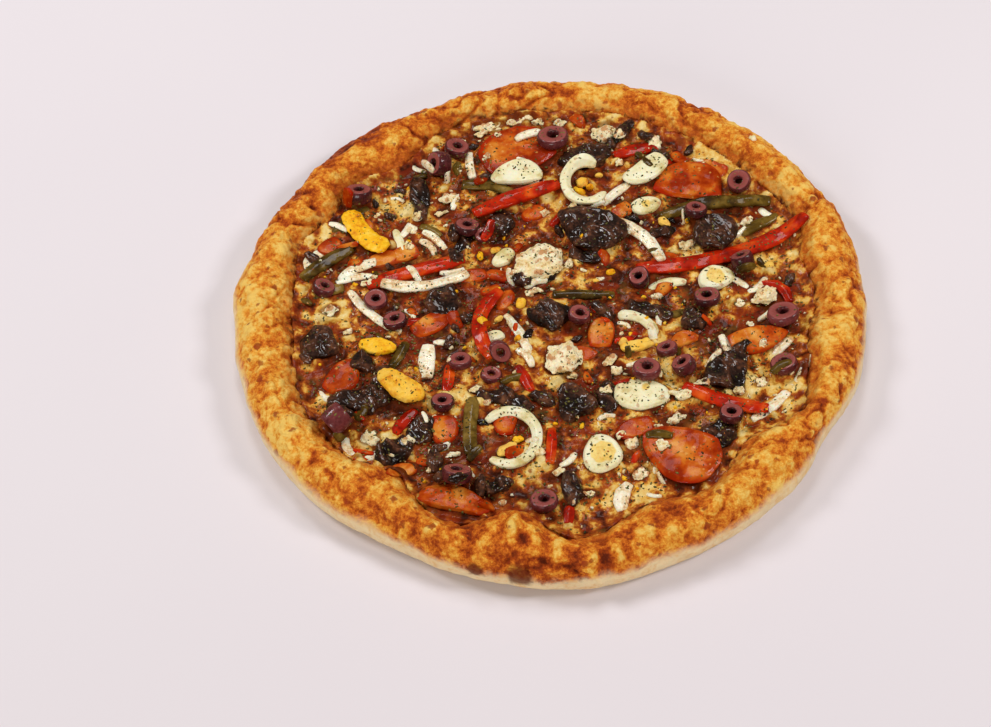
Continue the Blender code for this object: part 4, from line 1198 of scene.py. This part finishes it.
def oliveMesh():
    shapes = []
    for name, row in zip(olives["nodes"], olives["rings"]):
        low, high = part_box(name)
        shapes.append(oliveRing(row, np.array((low + high) / 2) / mm))
    for row in olives["inCheese"]:
        points, faces, marks = oliveRing(row)
        points[:, 2] -= base["sink"]
        shapes.append(inCheese((points, faces, marks)))
    for row in olives["loose"]:
        points, faces, marks = oliveRing(row)
        shapes.append((heap.draped(points, True, 0.8), faces, marks))
    for points, faces, _ in shapes:
        heap.cover(points, faces)
    mesh = newMesh("olives", *joined(shapes))
    heap.add(pointsOf(mesh), facesOf(mesh))
    return mesh


addPiece("oliveRings", oliveMesh(), "olive", oliveFinish(), *olives["nodes"])

cheeseLook = {
    "spacing": 0.9,
    "spacingQuick": 1.6,
    "clumps": (8.0, 1.2),  # size and height of the melted lumps
    "ripples": ((5.5, 0.45), (2.2, 0.3)),
    "welling": 1.7,  # how high the cheese stands round a topping
    "bottom": 8.3,
    "sauceSpots": (  # x, y, reach: where tomato sauce and oil show through
        (-60, 5, 26), (-70, -25, 22), (-30, 55, 18), (-60, -90, 22), (-20, -70, 18), (25, -20, 24),
        (65, 10, 16), (60, 50, 18), (75, 95, 22), (-15, 100, 22), (20, -60, 16), (100, -35, 20),
        (60, -110, 24), (-100, -50, 20), (-50, -120, 18), (0, 40, 14), (-110, 35, 14), (95, 60, 14),
        (-85, 70, 12), (130, -10, 10), (-20, 10, 20), (40, 10, 16), (-80, 40, 14), (-125, -30, 12),
        (-70, 110, 14), (-90, -60, 14),
    ),
    "creamSpots": (  # where melted cheese lies thick
        (-15, 135, 20), (45, 125, 14), (-125, 55, 10), (-80, 80, 16), (125, 20, 14), (110, -70, 22),
        (-95, -85, 16), (35, -125, 20), (85, -85, 16), (45, -95, 10), (-20, -45, 12), (5, -50, 16),
        (80, 25, 18), (10, 30, 20), (-120, 5, 10), (30, 60, 12), (-45, -60, 10), (60, -60, 18),
        (120, 90, 16), (-15, -105, 14), (100, 100, 14),
    ),
}


def spotShare(x, y, spots):
    total = np.zeros(len(x))
    for spotX, spotY, reach in spots:
        total += np.exp(-((x - spotX) ** 2 + (y - spotY) ** 2) / (reach * 0.75) ** 2)
    return np.minimum(total, 1.2)


def cheeseMesh(look):
    edge = 160.0
    spacing = look["spacing"]
    lines = np.linspace(-edge, edge, int(2 * edge / spacing) + 1)
    x, y = np.meshgrid(lines, lines, indexing="ij")
    inside = np.hypot(x, y) < innerRadius(x, y) + 2.0
    faces = gridFaces(inside)
    x, y = x[inside], y[inside]
    flat = np.column_stack((x, y, np.zeros(len(x))))

    covered = np.isfinite(heap.under)
    gap = np.where(covered, np.clip(np.where(covered, heap.under, 0) - base["cheeseHeight"], 0, 3.2), 0)
    near = heap.heightAt(blurred(covered.astype(float), 3), x, y)
    lift = heap.heightAt(blurred(gap, 2), x, y)
    size, high = look["clumps"]
    wander = roughAt(flat, 16, 2.2)
    swirl = np.column_stack((roughAt(flat, 5, 1.0), roughAt(flat, 5, 9.0), np.zeros(len(x))))
    clump = grainsAt(flat + 2.0 * swirl, size)
    (wide, ripple), (narrow, small) = look["ripples"]
    patch, fine = roughAt(flat, wide, 8.8), roughAt(flat, narrow, 5.1)
    body = spotShare(x, y, look["creamSpots"]) - spotShare(x, y, look["sauceSpots"])
    # near also pushes the colour towards the dark stops beside the toppings, which is painted shade, as well
    # as lowering the lumps there
    melted = 0.47 + 0.42 * body + 0.5 * (clump - 0.25) + 0.35 * (patch + wander) - 0.15 * near
    melted = np.clip(melted, 0, 1)
    relief = high * melted * (0.55 + 0.5 * clump) + ripple * patch + small * fine + 0.3 * wander
    height = cheeseHeight(x, y) + relief - 0.3 + lift * 0.9
    height += look["welling"] * near * (1 - near) * 4 * (0.6 + 0.6 * patch)
    rim = np.clip((np.hypot(x, y) / innerRadius(x, y) - 0.95) / 0.05, 0, 1)
    height += 1.9 * rim * rim
    mesh = newMesh("cheese", np.column_stack((x, y, height)), faces, {"melted": melted, "near": near})
    return closedBelow(mesh, look["bottom"])


def closedBelow(mesh, low):
    # walls down from the border of a sheet, and a flat bottom
    builder = bmesh.new()
    builder.from_mesh(mesh)
    loose = [vertex for vertex in builder.verts if not vertex.link_faces]
    bmesh.ops.delete(builder, geom=loose, context="VERTS")
    border = [side for side in builder.edges if side.is_boundary]
    grown = bmesh.ops.extrude_edge_only(builder, edges=border)["geom"]
    for part in grown:
        if isinstance(part, bmesh.types.BMVert):
            part.co.z = low
    bottom = [part for part in grown if isinstance(part, bmesh.types.BMEdge) and part.is_boundary]
    bmesh.ops.holes_fill(builder, edges=bottom, sides=0)
    builder.to_mesh(mesh)
    builder.free()
    return facedOut(mesh)


def cheeseFinish():
    finish = Finish("meltedCheese", {"Specular IOR Level": 0.05, "Coat Weight": 0.1, "Coat Roughness": 0.05})
    melted, near = finish.mark("melted"), finish.mark("near")
    fine = finish.cloud(2.2, 4, 0.65)
    colour = cheeseColour(finish, melted)
    # painted shade: where near is high, the cheese turns dark brown beside the toppings; where only the cloud
    # is high, the dark brown is oil
    oily = (near * 1.0 + finish.cloud(14, 2) * 0.7 - melted * 0.4).between(0.4, 0.9)
    colour = finish.blend(oily * 0.7, colour, tint(104, 42, 10))
    return finish.finished(colour, 0.34 + (fine - 0.5) * 0.5, fine * 0.8 + finish.cloud(0.9, 2) * 0.3, 0.6)


cheese = cheeseMesh(cheeseLook)
heap.add(pointsOf(cheese), facesOf(cheese))
addPiece("meltedCheese", cheese, "cheese", cheeseFinish(), "cheese_layer")

# scraps and crumbs strewn between the toppings by Geometry Nodes, their size as a share of the shapes
# below, each kind on the part of the pizza that one of the sheet's marks gives
scrapLooks = {  # how many, millimetres apart, smallest and largest size, seed, where
    "tomatoScraps": (46, 8.0, 0.8, 1.8, 3, "saucy"),
    "mushroomScraps": (60, 8.0, 0.7, 1.7, 4, "saucy"),
    "onionScraps": (40, 8.0, 0.7, 1.6, 5, "open"),
    "greenScraps": (18, 10.0, 0.6, 1.6, 6, "open"),
    "redScraps": (20, 8.0, 0.8, 1.6, 7, "saucy"),
    "yolkCrumbs": (70, 4.0, 0.4, 1.4, 8, "open"),
    "whiteCrumbs": (700, 2.4, 0.4, 1.6, 9, "creamy"),
    "herbFlakes": (5600, 1.2, 0.4, 1.7, 10, "dusted"),
    "toastedCrumbs": (700, 4.0, 0.5, 1.2, 11, "dusted"),
}


def topSurface():
    # one sheet over all that has been laid so far, with shares that say where scraps may lie
    steps = np.arange(8, len(heap.top) - 8, 2)
    x, y = np.meshgrid(heap.across[steps], heap.across[steps], indexing="ij")
    inside = np.hypot(x, y) < innerRadius(x, y) - 2.5
    spots = np.column_stack((x[inside], y[inside], heap.top[np.ix_(steps, steps)][inside]))
    bare = 1 - 0.9 * blurred(np.isfinite(heap.under).astype(float), 1)[np.ix_(steps, steps)][inside]
    cream = spotShare(spots[:, 0], spots[:, 1], cheeseLook["creamSpots"])
    sauce = spotShare(spots[:, 0], spots[:, 1], cheeseLook["sauceSpots"])
    cluster = np.clip(0.6 + 0.9 * roughAt(spots, 22, 4.0), 0.05, 1)
    marks = {
        "open": bare,
        "creamy": bare * np.clip(0.35 + 0.8 * cream - 0.3 * sauce, 0.1, 1),
        "saucy": bare * np.clip(0.35 + 0.8 * sauce - 0.5 * cream, 0.05, 1),
        "dusted": cluster,
    }
    return newObject("sheet", newMesh("sheet", spots * mm, gridFaces(inside), marks))


def strewTree(name, scraps, material, where):
    tree = bpy.data.node_groups.new(name, "GeometryNodeTree")
    tree.interface.new_socket("Surface", in_out="INPUT", socket_type="NodeSocketGeometry")
    for label in ("Density", "Spacing", "Smallest", "Largest", "Seed"):
        kind = "NodeSocketInt" if label == "Seed" else "NodeSocketFloat"
        tree.interface.new_socket(label, in_out="INPUT", socket_type=kind)
    tree.interface.new_socket("Scraps", in_out="OUTPUT", socket_type="NodeSocketGeometry")
    board = Board(tree)
    inputs = [board.add("NodeGroupInput", output=index) for index in range(6)]
    surface, density, spacing, smallest, largest, seed = inputs
    share = board.add("GeometryNodeInputNamedAttribute", {"data_type": "FLOAT"}, {"Name": where})
    sockets = {"Mesh": surface, "Seed": seed}
    sockets.update({"Distance Min": spacing, "Density Max": density, "Density Factor": share})
    spots = board.add("GeometryNodeDistributePointsOnFaces", {"distribute_method": "POISSON"}, sockets)
    upright = board.add("FunctionNodeAlignRotationToVector", {"axis": "Z"}, {"Vector": spots.other("Normal")})
    sockets = {0: (-0.15, -0.15, -3.14), 1: (0.15, 0.15, 3.14), "Seed": seed}
    spin = board.add("FunctionNodeRandomValue", {"data_type": "FLOAT_VECTOR"}, sockets)
    turned = board.add("FunctionNodeRotateRotation", {"rotation_space": "LOCAL"}, {0: upright, 1: spin})
    sockets = {2: smallest, 3: largest, "Seed": seed}
    size = board.add("FunctionNodeRandomValue", {"data_type": "FLOAT"}, sockets, 1)
    shapes = board.add("GeometryNodeJoinGeometry")
    for scrap in scraps:
        info = board.add("GeometryNodeObjectInfo", None, {"Object": scrap, "As Instance": True}, 4)
        tree.links.new(info.socket, shapes.socket.node.inputs[0])
    sockets = {"Points": spots, "Instance": shapes, "Pick Instance": True, "Rotation": turned, "Scale": size}
    placed = board.add("GeometryNodeInstanceOnPoints", None, sockets)
    real = board.add("GeometryNodeRealizeInstances", None, {0: placed})
    dressed = board.add("GeometryNodeSetMaterial", None, {"Geometry": real, "Material": material})
    board.add("NodeGroupOutput", None, {0: dressed})
    return tree


def strewn(name, slot, scraps, material):
    count, spacing, smallest, largest, seed, where = scrapLooks[name]
    area = math.pi * (base["innerRadius"] * mm) ** 2
    values = {"Density": count / area * 2, "Spacing": spacing * mm, "Smallest": smallest, "Largest": largest}
    values["Seed"] = seed
    tree = strewTree(name + "Tree", scraps, material, where)
    strew = sheet.modifiers.new("strew", "NODES")
    strew.node_group = tree
    for item in tree.interface.items_tree:
        if item.name in values:
            strew[item.identifier] = values[item.name]
    mesh = evaluatedMesh(sheet)
    sheet.modifiers.remove(strew)
    for scrap in scraps:
        bpy.data.objects.remove(scrap)
    mesh.transform(Matrix.Scale(1 / mm, 4))
    if name not in ("herbFlakes", "toastedCrumbs"):
        heap.add(pointsOf(mesh), facesOf(mesh))
    addPiece(name, mesh, slot, material)


def scrapsOf(stem, shapes, levels, carve, amount):
    # a few different scraps of one kind at their mean size, sunk a little
    made = []
    for number, shape in enumerate(shapes):
        plain = joined([(*shape, {})])
        mesh = softened(plain, levels, 0.6) if levels else newMesh(stem, *plain)
        before = pointsOf(mesh)
        far = before + 40.0 * number
        points, marks = carve(far, normalsOf(mesh))
        points = before + (points - far) * amount
        for key, values in marks.items():
            addMark(mesh, key, values)
        mesh.vertices.foreach_set("co", ((points - (0, 0, 0.7)) * mm).astype(np.float32).ravel())
        made.append(newObject(f"{stem}{number}", mesh))
    return made


def flakes(stem, count, sides, long, wide, thick):
    # thin closed scraps
    draw = random.Random(count + sides)
    made = []
    for number in range(count):
        points = []
        for step in range(sides):
            turn = 2 * math.pi * step / sides
            share = draw.uniform(0.6, 1.0)
            height = draw.uniform(-0.2, 0.4) * thick
            points.append((long * share * math.cos(turn), wide * share * math.sin(turn), height))
        points += [(0, 0, thick), (0, 0, -thick * 0.6)]
        faces = []
        for step in range(sides):
            after = (step + 1) % sides
            faces += [(step, after, sides), (after, step, sides + 1)]
        made.append(newObject(f"{stem}{number}", newMesh(stem, np.array(points) * mm, faces)))
    return made


def flakeFinish(name, shades, size):
    finish = Finish(name, {"Specular IOR Level": 0.3})
    tone = finish.cloud(size, 3)
    return finish.finished(finish.ramp(tone, *shades), 0.6 + tone * 0.2, finish.cloud(0.4, 2), 0.1)


tomatoScraps = [sliceShape((60 + n, 0, 0, 8.0, 5.0, 0, 1.5, ("half", "block")[n % 2])) for n in range(4)]
mushroomScraps = [sliceShape((70 + n, 0, 0, 8.5, 4.0, 0, 1.9, "cap")) for n in range(4)]
onionScraps = [stripShape((80 + n, 0, 0, 10.0, 2.8, 0, 1.3, (1.6, -1.2, 0.6)[n]), 0, 6) for n in range(3)]
pepperScraps = [stripShape((90 + n, 0, 0, 8.0, 3.4, 0, 1.3, (0.8, -0.6, 0.2)[n])) for n in range(3)]
crumbs = [lumpShape((95 + n, 0, 0, 3.0, 2.4, 0, 1.9), -0.4, 2) for n in range(4)]
herbShades = ((0.40, tint(46, 42, 12)), (0.50, tint(84, 80, 28)), (0.62, tint(132, 120, 56)))
toastShades = ((0.40, tint(124, 56, 20)), (0.50, tint(190, 112, 46)), (0.62, tint(232, 196, 130)))
sheet = topSurface()
for name, slot, shapes, levels, carve, amount, material in (
    ("tomatoScraps", "tomato", tomatoScraps, 2, rippledBy(tomatoes), 0.5, tomatoMaterial),
    ("mushroomScraps", "mushroom", mushroomScraps, 2, carveMushroom, 0.5, mushroomMaterial),
    ("onionScraps", "onion", onionScraps, 2, carveOnion, 0.5, onionMaterial),
    ("greenScraps", "green_pepper", pepperScraps, 2, rippledBy(greenPeppers), 0.5, greenMaterial),
    ("redScraps", "red_pepper", pepperScraps, 2, rippledBy(redPeppers), 0.5, redMaterial),
    ("yolkCrumbs", "egg_yolk", crumbs, 0, carveYolk, 0.9, yolkMaterial),
    ("whiteCrumbs", "white_cheese", crumbs, 0, carveCheese, 0.7, whiteMaterial),
):
    strewn(name, slot, scrapsOf(name, shapes, levels, carve, amount), material)
bpy.data.objects.remove(sheet)
sheet = topSurface()
herbs, toasted = flakes("herb", 5, 5, 0.9, 0.5, 0.12), flakes("crumb", 4, 6, 0.7, 0.5, 0.4)
strewn("herbFlakes", "green_pepper", herbs, flakeFinish("driedHerbs", herbShades, 6))
strewn("toastedCrumbs", "white_cheese", toasted, flakeFinish("toastedCrumbs", toastShades, 7))
bpy.data.objects.remove(sheet)

studio = {
    "floor": (tint(232, 226, 230), tint(226, 219, 224)),
    "sky": (1.0, 0.86, 0.72, 1.0),
    "skyStrength": 0.19,
    "lights": (  # place, size in metres, watts, colour
        ((-1.0, 0.5, 1.1), 0.36, 9.2, (0.98, 0.98, 1.0)),
        ((1.1, -0.1, 1.0), 0.32, 9.0, (0.98, 0.97, 0.98)),
        ((0.0, 0.9, 1.5), 0.5, 8.0, (0.98, 0.99, 1.0)),
        ((-0.5, -1.5, 0.6), 0.6, 10.5, (1.0, 0.99, 0.97)),
    ),
}


def setTable(look):
    builder = bmesh.new()
    bmesh.ops.create_grid(builder, x_segments=2, y_segments=2, size=4.0)
    mesh = bpy.data.meshes.new("floor")
    builder.to_mesh(mesh)
    builder.free()
    finish = Finish("paleFloor", {"Specular IOR Level": 0.2})
    soft = finish.cloud(400, 2)
    mesh.materials.append(finish.finished(finish.blend(soft, *look["floor"]), 0.7 + soft * 0.1, soft, 0.01))
    newObject("floor", mesh)
    world = bpy.data.worlds.new("studio")
    world.use_nodes = True
    backdrop = world.node_tree.nodes["Background"]
    backdrop.inputs["Color"].default_value = look["sky"]
    backdrop.inputs["Strength"].default_value = look["skyStrength"]
    bpy.context.scene.world = world
    for number, (place, size, power, colour) in enumerate(look["lights"]):
        lamp = bpy.data.lights.new(f"softbox{number}", "AREA")
        lamp.size = size
        lamp.energy = power
        lamp.color = colour
        holder = newObject(lamp.name, lamp)
        holder.location = place
        holder.rotation_euler = (-Vector(place)).to_track_quat("-Z", "Y").to_euler()


setTable(studio)
print("table and lights set")
